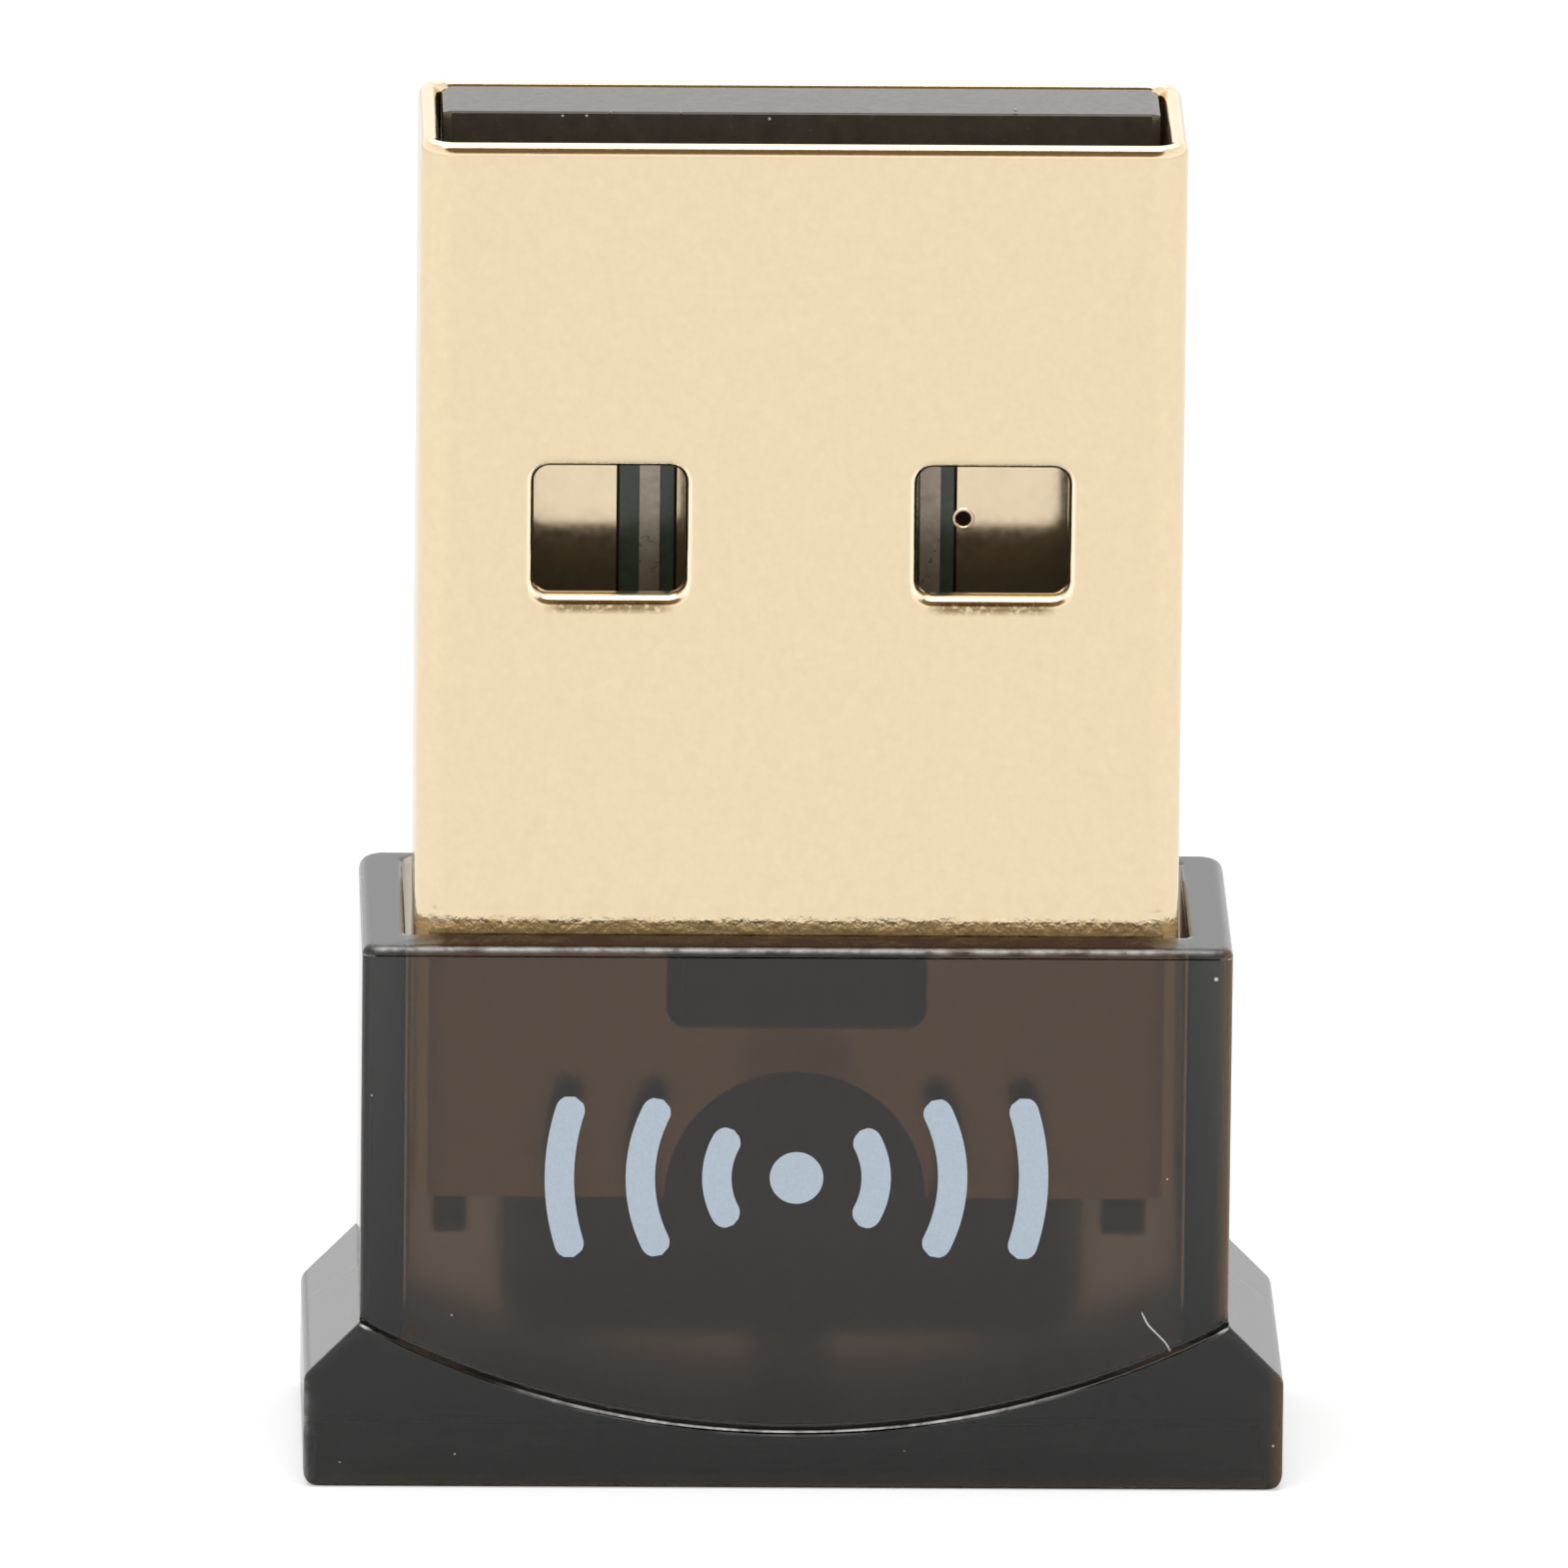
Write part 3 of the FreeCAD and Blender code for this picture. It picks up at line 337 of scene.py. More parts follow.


# %% [markdown]
# ## Smoke-coloured clear plastic
# The housing is polycarbonate with a brown-grey dye. Light loses strength inside it, so the
# colour belongs in the volume: a thin wall is pale, a thick one nearly black. The surface is
# glossy with a very faint unevenness from the mould. The pocket inside was shaped by a rougher
# steel core, which blurs what is seen through it. A broken white highlight is painted along the
# long sharp edges, and a faint painted sheen lightens the strips beside the pocket and the ledge.
# On the right and at the bottom a brown glow is painted where light leaks out of the edge, and
# painted dark brown shade lies on the top of the front wall, between the plug and the panel.
# Five numbers on the points of the mesh say where all that is: one for the texture, one for the
# painted highlight, one for the painted sheen, one for the painted glow at the thin edges and
# one for the painted shade.

# %% Smoke plastic
DYE, DYE_DENSITY = (0.315, 0.186, 0.035), 2000.0
# Painted light: a white edge highlight, a brown glow out of the thin edges, a dark brown shade
HIGHLIGHT_WHITE, GLOW_BROWN, SHADE_BROWN = (0.80, 0.79, 0.77), (0.55, 0.32, 0.12), (0.068, 0.042, 0.028)
TEXTURE_ROUGHNESS, GLOW_SHARE = 0.36, 0.17

smoke = recipe("smoke_plastic")
polish = smoke.spread(smoke.noise(9000, 3), 0.03, 0.07)
layers = smoke.principled(
    Base_Color=WHITE, IOR=1.55, Transmission_Weight=1.0,
    Roughness=smoke.add(polish, smoke.times(smoke.mark("textured"), TEXTURE_ROUGHNESS)),
    Normal=smoke.bump(smoke.noise(1400, 2), 0.0000012))
breaks = smoke.spread(smoke.noise(2300, 4, 0.7), 0.12, 1.1, 0.36, 0.60)
patches = smoke.spread(smoke.noise(1500, 4, 0.6), 0.72, 1.0, 0.40, 0.60)
# Layers of painted light over the clear plastic: white highlight and sheen, brown glow, dark brown shade
for share, layer in (
        (smoke.add(smoke.times(smoke.mark("worn"), breaks), smoke.mark("haze"), clamp=True),
         smoke.principled(Base_Color=HIGHLIGHT_WHITE, Roughness=0.35)),
        (smoke.times(smoke.mark("thin"), GLOW_SHARE), smoke.node("BsdfDiffuse", {"Color": GLOW_BROWN})),
        (smoke.times(smoke.mark("soiled"), patches), smoke.node("BsdfDiffuse", {"Color": SHADE_BROWN}))):
    layers = smoke.node("MixShader", {"Fac": share, 1: layers, 2: layer})
dye = smoke.node("VolumeAbsorption", {"Color": DYE, "Density": DYE_DENSITY})
smoke_plastic = smoke.finish(Surface=layers, Volume=dye)

# %% [markdown]
# ## Housing
# The housing is one surface: it starts in the middle of the underside, runs out to the edge, up
# the base, over the ears, across the arched ledge, up the body, over the top, down the pocket
# and over the arched floor to its middle. So it can be a single closed grid: the columns go
# round the plan, which is a rectangle with round corners, and each row gives that rectangle's
# size and height. Rows on the front sag in the middle, which is how one of them becomes the
# arch. Extra rows beside each rounding keep the flat faces flat when shaded.

# %% Sizes of the housing in mm
BASE_HALF, BODY_HALF, SLOT_HALF = 7.695, 6.825, 6.14
BASE_FRONT, PANEL, BACK = -3.05, -2.79, 3.05
SLOT_FRONT, SLOT_BACK = -1.85, 2.75
EAR_SIDE, EAR_TOP, BODY_TOP = 1.8, 2.67, 8.72
ARC_LOW, FLOOR_LOW, ARC_RADIUS = 0.94, 0.78, 14.327
CORNER, BOTTOM_FRONT, BOTTOM_BACK = 0.25, 0.10, 0.20
BASE_NEAR, BASE_FAR, BODY_NEAR, BODY_FAR = 0.10, 0.20, 0.2, 0.4
LEDGE_ROUND, TOP_ROUND = 0.055, 0.16
SLOT_ROUND, SLOT_CORNER, NEAR_CORNER = 0.09, 0.32, 0.09
SHOULDER, CHAMBER_BACK = 4.40, 2.30


def arc_rise(x):
    """Height at x of a circle of ARC_RADIUS that touches the level z = 0 at x = 0."""
    return ARC_RADIUS - np.sqrt(ARC_RADIUS ** 2 - x ** 2)


def drop_of(x, half):
    """How far the arch lies below its ends at x = +-half."""
    return arc_rise(half) - arc_rise(np.minimum(np.abs(x), half))


# %% Rows of a plan with round corners
CORNER_CELLS, RUN_CELLS = 7, (56, 10, 24, 10)


def plan_rows(half, front, back, near, far):
    """Points round a rectangle with round corners, one row of the result per value.

    near and far are the radii of the front and back corners. A corner is a quarter circle with
    its centre one radius inside both sides; a straight run leads to it from the one before.
    """
    steps = np.arange(CORNER_CELLS) * 90.0 / CORNER_CELLS
    corners = ((half - near, front + near, near, -90), (half - far, back - far, far, 0),
               (far - half, back - far, far, 90), (near - half, front + near, near, 180))

    def on_corner(x, y, radius, angle):
        a = np.radians(angle)
        return x + radius * np.cos(a), y + radius * np.sin(a)

    parts = []
    for before, (*corner, first), cells in zip(corners[-1:] + corners, corners, RUN_CELLS):
        (x0, y0), (x1, y1) = on_corner(*before[:3], first), on_corner(*corner, first)
        share = np.concatenate([[0.0, 0.008], np.linspace(0.03, 0.97, cells), [0.992]])
        parts += [points_of(x0 + (x1 - x0) * share, y0 + (y1 - y0) * share),
                  points_of(*on_corner(*corner, first + steps))]
    return np.concatenate(parts, axis=1)


def side_shares():
    """For each column, how much it belongs to the front, the back and the sides."""
    rise = np.sin(np.arange(CORNER_CELLS) / CORNER_CELLS * math.pi / 2)[:, None] ** 2
    front, back, side = np.eye(3)
    shares = []
    for here, there, cells in zip((front, side, back, side), (side, back, side, front), RUN_CELLS):
        shares += [np.tile(here, (cells + 3, 1)), here + (there - here) * rise]
    return np.concatenate(shares).T


# %% The table of rows
rows = []


def row(half, front, back, near, far, height, sag, reach=BODY_HALF):
    """height is one number for the row, or three for its front, back and sides."""
    heights = height if isinstance(height, tuple) else (height, height, height)
    rows.append((half, front, back, near, far, *heights, sag, reach))


def base_row(half, z, reach):
    """A row of the base. Its share of the arch keeps the rows evenly spaced in the middle."""
    middle = 0.3 + (ARC_LOW - 0.3) * (z - 0.3) / (EAR_TOP - 0.3)
    row(half, BASE_FRONT, BACK, BASE_NEAR, BASE_FAR, z, (z - middle) / (EAR_TOP - ARC_LOW), reach)


def slot_row(back, z, sag=0.0):
    row(SLOT_HALF, SLOT_FRONT, back, NEAR_CORNER, SLOT_CORNER, z, sag, SLOT_HALF)


# The underside and the rounding below the base
row(0, 0, 0, 0, 0, 0, 0)
row(BASE_HALF - CORNER - 0.12, BASE_FRONT + 0.22, BACK - 0.32, 0.05, 0.1, 0, 0)
for inside, rise in rounding(1.0):
    row(BASE_HALF - CORNER * inside, BASE_FRONT + BOTTOM_FRONT * inside, BACK - BOTTOM_BACK * inside,
        BASE_NEAR, BASE_FAR, (BOTTOM_FRONT * rise, BOTTOM_BACK * rise, CORNER * rise), 0)

# The base's upright sides, the bend into the ears' slopes and the slopes
for z in (0.3, 0.6, 1.0, 1.4, 1.62):
    base_row(BASE_HALF, z, BASE_HALF)
bend_low = EAR_SIDE - math.tan(math.radians(22.5)) * CORNER
for a in np.radians(np.arange(0, 46, 7.5)):
    half = BASE_HALF - CORNER * (1 - math.cos(a))
    base_row(half, bend_low + CORNER * math.sin(a), half)
for left in (0.74, 0.55, 0.35, 0.18, 0.09):
    base_row(BODY_HALF + left, EAR_TOP - left, BODY_HALF + left)

# The ledge: its round front edge, its flat and the small hollow at the foot of the panel
for left, inward in rounding(LEDGE_ROUND):
    row(BODY_HALF + left, BASE_FRONT + inward, BACK, BASE_NEAR, BASE_FAR, EAR_TOP - left, 1, BODY_HALF + left)
for step, (front, climb) in enumerate(((-2.97, 0), (-2.85, 0), (PANEL - 0.022, 0),
                                       (PANEL - 0.006, 0.006), (PANEL, 0.022), (PANEL, 0.06))):
    z = EAR_TOP + climb
    row(BODY_HALF, front, BACK, BASE_NEAR + 0.015 * step, BASE_FAR + 0.03 * step,
        (z, z, z + 0.006 * (step + 1)), 1)

# The body, its rounded top edge and its flat top
for z in (2.85, 3.1, 3.6, 4.3, 5.2, 6.2, 7.2, 8.0, 8.45, 8.58):
    row(BODY_HALF, PANEL, BACK, BODY_NEAR, BODY_FAR, z, min(1.0, max(0.0, 1 - (z - 2.75) / 4.3)))
for down, inside in rounding(TOP_ROUND):
    row(BODY_HALF - inside, PANEL + inside, BACK - 0.6 * inside, BODY_NEAR - 0.8 * inside,
        BODY_FAR - inside, BODY_TOP - down, 0)
row(BODY_HALF - 0.18, PANEL + 0.18, BACK - 0.12, 0.07, 0.24, BODY_TOP, 0)
for outside, down in [(SLOT_ROUND + 0.02, 0.0)] + rounding(SLOT_ROUND):
    row(SLOT_HALF + outside, SLOT_FRONT - 3.2 * outside, SLOT_BACK + outside, NEAR_CORNER + outside,
        SLOT_CORNER, BODY_TOP - down, 0)

# The plug's slot, a shoulder under the shell's back wall, then a narrower chamber for the board
for z in (8.58, 8.0, 7.0, 6.0, 5.0, SHOULDER + 0.04, SHOULDER):
    slot_row(SLOT_BACK, z)
for back in (SLOT_BACK - 0.04, CHAMBER_BACK + 0.04, CHAMBER_BACK):
    slot_row(back, SHOULDER)
floor_ends = FLOOR_LOW + arc_rise(SLOT_HALF) + 0.05
for z, sag in ((SHOULDER - 0.04, 0.02), (4.0, 0.2), (3.2, 0.6), (2.6, 0.9),
               (floor_ends + 0.07, 1), (floor_ends, 1)):
    slot_row(CHAMBER_BACK, z, sag)
for inside in (0.015, 0.05):
    row(SLOT_HALF - inside, SLOT_FRONT + inside, CHAMBER_BACK - inside, NEAR_CORNER,
        SLOT_CORNER - 0.02, floor_ends - inside, 1, SLOT_HALF)
print("rows in the housing:", len(rows))

# %% The housing's points
half, front, back, near, far, low_front, low_back, low_side, sag, reach = (
    np.array(values, float)[:, None] for values in zip(*rows))
plan = plan_rows(half, front, back, near, far)
front_share, back_share, side_share = side_shares()
limit = np.where(reach == SLOT_HALF, SLOT_HALF, BODY_HALF)
heights = (low_front * front_share + low_back * back_share + low_side * side_share
           - sag * drop_of(plan[..., 0] * limit / reach, limit))
outside = np.concatenate([plan, heights[..., None]], -1)
outside[0] = (0.0, (BASE_FRONT + BACK) / 2, 0.0)

# Floor of the pocket: the last row drawn in towards the middle, always on the arch
shrink = np.append([0.985, 0.95, 0.88], np.linspace(0.8, 0.0, 9))[:, None, None]
middle = np.array([0.0, (SLOT_FRONT + CHAMBER_BACK) / 2])
inner = middle + (outside[-1, :, :2] - middle)[None] * shrink
floor_grid = np.concatenate([inner, (FLOOR_LOW + arc_rise(inner[..., 0]))[..., None]], -1)
housing = piece_of("housing_body", [(np.concatenate([outside, floor_grid]), True)],
                   smoke_plastic)
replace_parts(housing, "housing")

# %% Where the housing gets painted highlight, sheen, glow and shade, and where it is textured
def fade(value, full, gone):
    """1 where value is at `full` or beyond, 0 at `gone` or beyond, straight in between."""
    return np.clip((value - gone) / (full - gone), 0, 1)


def mark_points(piece, **marks):
    """Stores one number per point under each name; each mark is a function of x, y and z in mm."""
    mesh = piece.data
    x, y, z = np.array([vertex.co for vertex in mesh.vertices], np.float32).T / MM
    for name, mark in marks.items():
        values = np.ascontiguousarray(mark(x, y, z), np.float32)
        mesh.attributes.new(name, "FLOAT", "POINT").data.foreach_set("value", values)


def worn_edges(x, y, z):
    """Painted highlight: the panel's top edge, the arch's edge and its ends, the base's left edge."""
    side = np.abs(x)
    top = fade(np.hypot(y - PANEL, z - BODY_TOP), 0.070, 0.090) * fade(side, 6.58, 6.66)
    arch = ARC_LOW + arc_rise(np.minimum(side, BODY_HALF))
    near = fade(np.hypot(y - BASE_FRONT, z - arch), 0.036, 0.056)
    ends = 0.7 * fade(side, 2.6, 4.7) + fade(side, 6.78, 6.62)
    left = (y < -2.93) * (z < 1.75) * fade(x, -7.68, -7.58)
    return np.clip(0.55 * top + near * ends + 0.28 * left, 0, 1)


def hazed(x, y, z):
    """Painted sheen on the panel's side strips, more towards the top, and on the ledge along the arch."""
    strips = (y < PANEL + 0.03) * (z > 2.6) * fade(np.abs(x), 6.30, 6.08)
    ledge = (y > -3.0) & (y < PANEL - 0.003) & (z < EAR_TOP + 0.01) & (z > 0.7)
    return strips * (0.004 + 0.030 * (z - 2.6) / 6.1) + 0.010 * ledge


def glowing_edges(x, y, z):
    """Painted brown glow where light leaks out: the right edges of body and base, the bottom edge in front.
    """
    body = 1.3 * (y < -2.5) * (z > 2.72) * fade(x, 6.80, 6.60)
    base = (y < -2.9) * (z < 1.95) * fade(x, 7.69, 7.45)
    return np.maximum(np.maximum(body, base), 0.3 * (y < -2.9) * fade(z, 0.04, 0.2))


def pocket_texture(x, y, z):
    """The pocket's walls: fine on the back of the panel, coarse elsewhere."""
    inside = (np.abs(x) < SLOT_HALF + 0.03) & (y > -1.88) & (y < 2.78) & (z > 0.7) & (z < 8.6)
    return inside * (0.74 + 0.66 * fade(y, -1.2, -1.8))


def soiled_strip(x, y, z):
    """Painted dark brown shade on the top of the front wall, between the plug and the panel's edge."""
    return (z > 8.60) * (y > -2.67) * (y < -1.78) * fade(np.abs(x), 5.5, 5.95)


mark_points(housing, worn=worn_edges, textured=pocket_texture, haze=hazed, thin=glowing_edges,
            soiled=soiled_strip)

# %% [markdown]
# ### Rib and snap catches
# Through the panel one sees a faint upright band, where a rib across the pocket's floor holds
# the board, and two wedges that snap into the plug shell. Each is a prism: an outline in the
# YZ plane carried along X, a little into the walls that carry it.

# %% Prisms inside the pocket
RIB_TEXTURE = 1.4


def prism(outline, low_x, high_x, trim=0.03):
    """Grids of a closed prism: the outline at low_x and high_x, drawn in by trim at both ends."""
    outline = np.array(outline, float)
    centre = outline.mean(0)
    size = np.abs(outline - centre).max()
    small = centre + (outline - centre) * (1 - trim / size)
    point = centre + 0 * outline
    stations = [(low_x, point), (low_x, small), (low_x + trim, outline),
                (high_x - trim, outline), (high_x, small), (high_x, point)]
    return np.array([points_of(x, loop[:, 0], loop[:, 1]) for x, loop in stations]), True


def box(front, back, low, high, low_x, high_x, trim):
    return prism([(front, low), (front, high), (back, high), (back, low)], low_x, high_x, trim)


CATCH_LOW = 7.36
rib_outline = [(0.46, 0.76), (1.46, 0.76), (1.46, 1.60), (1.40, 1.64), (0.52, 1.64), (0.46, 1.60)]
solids = [prism(rib_outline, -0.6, 0.6, 0.06)]
for wall, inward in ((SLOT_FRONT, 1), (SLOT_BACK, -1)):
    root, thin_end, tip = (wall + reach * inward for reach in (-0.02, 0.02, 0.3))
    solids.append(prism([(root, CATCH_LOW), (tip, CATCH_LOW), (thin_end, CATCH_LOW + 1.0),
                         (root, CATCH_LOW + 1.02)], -1.8, 1.8))
ribs = piece_of("housing_ribs", solids, smoke_plastic)
mark_points(ribs, textured=lambda x, y, z: np.full_like(x, RIB_TEXTURE))

# %% [markdown]
# ## Gold plate
# The plug is steel sheet under pale gold plating. It is a satin metal: the colour of its
# reflections is champagne, with a fine cloudy grain a few hundredths of a millimetre wide. Its
# dark line above the housing is the housing's top mirrored in the plate; the plate is scuffed
# there, and a ragged brown band painted along it deepens that mirrored line, so the line's upper
# edge is ragged. Between the two openings behind the panel the plate is a little darker in a
# faint round patch. A bright ring painted round each window stands for the highlight on its
# edge, and a dark, flecked band lies just below each window.

# %% Gold plate (its lengths are in metres, as node trees measure them)
# The bright tone is a painted highlight round the windows; the foot's brown is a painted band that deepens
# the mirrored housing top
PALE_GOLD, BRIGHT_GOLD, RING_HIGHLIGHT = (0.815, 0.664, 0.448), (0.877, 0.714, 0.483), (1.0, 0.90, 0.70)
PAINTED_FOOT_BROWN, SPOT_TONE, BELOW_WINDOW_DARK = (0.78, 0.50, 0.17), (0.36, 0.28, 0.18), (0.27, 0.18, 0.09)
HOUSING_TOP, SPOT_Z = 0.00868, 0.00657
WINDOW_X, WINDOW_Z, WINDOW_FLAT_X, WINDOW_FLAT_Z = 0.003, 0.01519, 0.00094, 0.00079

gold = recipe("gold_plate")
x, y, z = gold.axes()

# Painted brown band and scuffs along the foot; the band deepens the housing's mirrored top
ragged = gold.add(z, gold.spread(gold.noise(5200, 5, 0.75), -0.00006, 0.00006, 0.32, 0.68))
above = gold.math("GREATER_THAN", z, HOUSING_TOP)
foot = gold.times(above, gold.spread(ragged, 1.0, 0.0, 0.00882, 0.00893))
scuffed = gold.times(above, gold.spread(z, 1.0, 0.0, 0.00890, 0.00906))

# A faint darker disc on the front
from_spot = gold.distance(x, 0.0, gold.minus(z, SPOT_Z))
darker_spot = gold.times(gold.math("LESS_THAN", y, 0.0), gold.spread(from_spot, 1.0, 0.0, 0.00080, 0.00098))

# How far a point lies beyond the straight part of a window's sides gives the ring round it, a painted
# highlight
reach_x = gold.minus(gold.math("ABSOLUTE", gold.minus(gold.math("ABSOLUTE", x), WINDOW_X)), WINDOW_FLAT_X)
reach_z = gold.minus(gold.math("ABSOLUTE", gold.minus(z, WINDOW_Z)), WINDOW_FLAT_Z)
from_window = gold.distance(gold.math("MAXIMUM", reach_x), 0.0, gold.math("MAXIMUM", reach_z))
ring = gold.spread(from_window, 1.0, 0.0, 0.00033, 0.00036)

# A dark, flecked band just below each window
band = gold.times(gold.spread(z, 0.0, 1.0, 0.01385, 0.01394), gold.spread(z, 1.0, 0.0, 0.01404, 0.01408))
below = gold.times(band, gold.spread(reach_x, 1.0, 0.0, -0.00020, 0.00010))
flecks = gold.spread(gold.noise(9000, 3, 0.7), 0.0, 0.9, 0.32, 0.52)

colour = gold.mix(gold.spread(gold.noise(5200, 5, 0.7), 0.0, 1.0), PALE_GOLD, BRIGHT_GOLD)
# The foot band and the ring round the windows are painted light
for share, tone in ((gold.times(foot, 0.7), PAINTED_FOOT_BROWN), (gold.times(darker_spot, 0.52), SPOT_TONE),
                    (ring, RING_HIGHLIGHT), (gold.times(below, flecks), BELOW_WINDOW_DARK)):
    colour = gold.mix(share, colour, tone)
satin = gold.spread(gold.noise(9000, 4, 0.65), 0.11, 0.18)
scuffs = gold.times(scuffed, gold.times(gold.noise(6000, 3, 0.6), 16))
gold_plate = gold.finish(Surface=gold.principled(
    Base_Color=colour, Metallic=gold.minus(1.0, gold.times(foot, 0.3)),
    Roughness=gold.add(satin, gold.times(foot, 0.12)),
    Normal=gold.bump(gold.add(gold.noise(6500, 4, 0.6), scuffs), 0.0000013)))

# %% [markdown]
# ## Plug shell
# The shell is one strip of sheet folded round a rectangle with round corners. On the unfolded
# strip a point has three numbers: how far along the strip, how high, and how deep in the sheet.
# Folding is then one function. The strip is a grid, and every opening is a ring of cells whose
# outer border is the grid's own lines and whose inner border is the opening's outline.

# %% Folding
PLUG_HALF, PLUG_FRONT, PLUG_BACK, BEND, SHEET = 6.0, -1.80, 2.70, 0.55, 0.30
REAR, MOUTH = 4.50, 21.41
RIM_HIGH, RIM_DEEP = 0.20, 0.15
FLAT = PLUG_HALF - BEND
SIDE = (PLUG_BACK - PLUG_FRONT) - 2 * BEND
ARC = math.pi / 2 * BEND
RING = 4 * FLAT + 2 * SIDE + 4 * ARC
BACK_MIDDLE = RING / 2

# For each flat: where it starts, which way it runs and its length; then the bend's centre
LOW_CENTRE, HIGH_CENTRE = PLUG_FRONT + BEND, PLUG_BACK - BEND
FOLDS = [((-FLAT, PLUG_FRONT), (1, 0), 2 * FLAT, (FLAT, LOW_CENTRE)),
         ((PLUG_HALF, LOW_CENTRE), (0, 1), SIDE, (FLAT, HIGH_CENTRE)),
         ((FLAT, PLUG_BACK), (-1, 0), 2 * FLAT, (-FLAT, HIGH_CENTRE)),
         ((-PLUG_HALF, HIGH_CENTRE), (0, -1), SIDE, (-FLAT, LOW_CENTRE))]


def folded(flat, deep):
    """The folded sheet's points for (along, high). `along` starts mid-front and goes to +x.

    On a flat it is corner + run; in a bend it is centre + (radius - deep) * (cos, sin), and the
    depth is measured inwards from the outer face.
    """
    s = np.mod(flat[..., 0] + FLAT, RING)
    x, y = np.zeros(s.shape), np.zeros(s.shape)
    start = 0.0
    for fold, (origin, way, length, centre) in enumerate(FOLDS):
        here = (s >= start - 1e-9) & (s <= start + length)
        x = np.where(here, origin[0] + way[0] * (s - start) - way[1] * deep, x)
        y = np.where(here, origin[1] + way[1] * (s - start) + way[0] * deep, y)
        start += length
        here = (s > start) & (s < start + ARC)
        a = np.radians(90 * fold - 90) + (s - start) / BEND
        x = np.where(here, centre[0] + (BEND - deep) * np.cos(a), x)
        y = np.where(here, centre[1] + (BEND - deep) * np.sin(a), y)
        start += ARC
    return points_of(x, y, flat[..., 1])


def both_faces(flat):
    """A grid of (along, high) on the outer and on the inner face of the sheet."""
    return [(folded(flat, deep), False) for deep in (0.0, SHEET)]


def edge_of(line):
    """The cut edge of the sheet along a line of (along, high)."""
    return np.array([folded(line, deep) for deep in (0.0, SHEET)]), False


# %% Lines of the strip's grid. An opening's block of cells has these lines as its border
WINDOW_LOW, WINDOW_HIGH, WINDOW_SIDE = 13.65, 16.73, 1.67
LATCH_LOW, LATCH_HIGH, LATCH_SIDE = 6.9, 9.0, 2.646
INNER, OUTER = 1.31, 4.65
face_lines = np.concatenate([[-5.45, -5.38, -5.05], np.linspace(-OUTER, -INNER, 11),
                             np.linspace(-INNER, INNER, 9)[1:], np.linspace(INNER, OUTER, 11)[1:],
                             [5.05, 5.38]]) + FLAT
bend_lines = np.linspace(0, ARC, 9)[:-1]
side_lines = np.concatenate([[0, 0.06], np.linspace(0.3, SIDE - 0.3, 7), [SIDE - 0.06]])
around, start = [], 0.0
for flat, length in ((face_lines, 2 * FLAT), (side_lines, SIDE)) * 2:
    around += [*(start + flat), *(start + length + bend_lines)]
    start += length + ARC
around = np.array(around) - FLAT
levels = (REAR, LATCH_LOW, LATCH_HIGH, WINDOW_LOW, WINDOW_HIGH, MOUTH - 0.3)
upward = np.concatenate([np.linspace(low, high, count)[1:] for low, high, count
                         in zip(levels, levels[1:], (9, 8, 13, 11, 15))])
upward = np.concatenate([[REAR], upward, [MOUTH - RIM_HIGH]])
print("strip:", len(around), "lines round,", len(upward), "lines up")

# %% Openings: two pairs of locking windows and two latch windows
faces = (0.0, BACK_MIDDLE)
window = dict(half=1.18, low=14.16, high=16.22, radius=0.24, roll=0.20,
              block=WINDOW_SIDE, bottom=WINDOW_LOW, top=WINDOW_HIGH)
latch = dict(half=2.015, low=7.28, high=8.56, radius=0.28, roll=0.05,
             block=LATCH_SIDE, bottom=LATCH_LOW, top=LATCH_HIGH)
openings = [dict(window, x=face + 3.0 * side, middle=face + 2.98 * side)
            for face in faces for side in (-1, 1)]
openings += [dict(latch, x=face, middle=face) for face in faces]


def level_number(value):
    return int(np.argmin(np.abs(upward - value)))


def line_number(value):
    """Which of the lines round the strip lies at the value, whole turns apart."""
    return int(np.argmin(np.abs((around - value + RING / 2) % RING - RING / 2)))


def rounded_outline(opening, sides, roll):
    """The opening's outline with the same number of points as its block of cells has.

    Each corner is a quarter circle of 6 cells, 3 of them on each side of the block's corner; the
    rest of a side's cells is straight. roll widens the outline by that much all round.
    """
    a, b = opening["half"] + roll, (opening["high"] - opening["low"]) / 2 + roll
    r = opening["radius"] + roll
    half_arc = np.radians(np.arange(3) * 15.0)
    first, last = np.radians(225) + half_arc, np.radians(270) + half_arc
    points = []
    for turn, (across, up, cells) in enumerate(((a, b, sides[0]), (b, a, sides[1])) * 2):
        run = np.linspace(-(across - r), across - r, cells - 6 + 1)[:-1]
        local = np.concatenate([
            points_of(-(across - r) + r * np.cos(first), -(up - r) + r * np.sin(first)),
            points_of(run, -up),
            points_of(across - r + r * np.cos(last), -(up - r) + r * np.sin(last))])
        cos, sin = math.cos(turn * math.pi / 2), math.sin(turn * math.pi / 2)
        points.append(local @ np.array([[cos, sin], [-sin, cos]]))
    return (opening["x"], (opening["high"] + opening["low"]) / 2) + np.concatenate(points)


def block_border(opening):
    """Numbers of the grid's lines at the block's edges, and its border's points."""
    left, right = (line_number(opening["middle"] + side * opening["block"]) for side in (-1, 1))
    bottom, top = level_number(opening["bottom"]), level_number(opening["top"])
    columns, levels = around[left:right + 1], upward[bottom:top + 1]
    border = np.concatenate([points_of(columns[:-1], levels[0]), points_of(columns[-1], levels[:-1]),
                             points_of(columns[:0:-1], levels[-1]), points_of(columns[0], levels[:0:-1])])
    return (left, right, bottom, top), border


def between(border, outline, shares):
    """A flat grid that goes from the border of a block to the outline of its opening."""
    share = np.array(shares)[:, None, None]
    return border[None] * (1 - share) + outline[None] * share


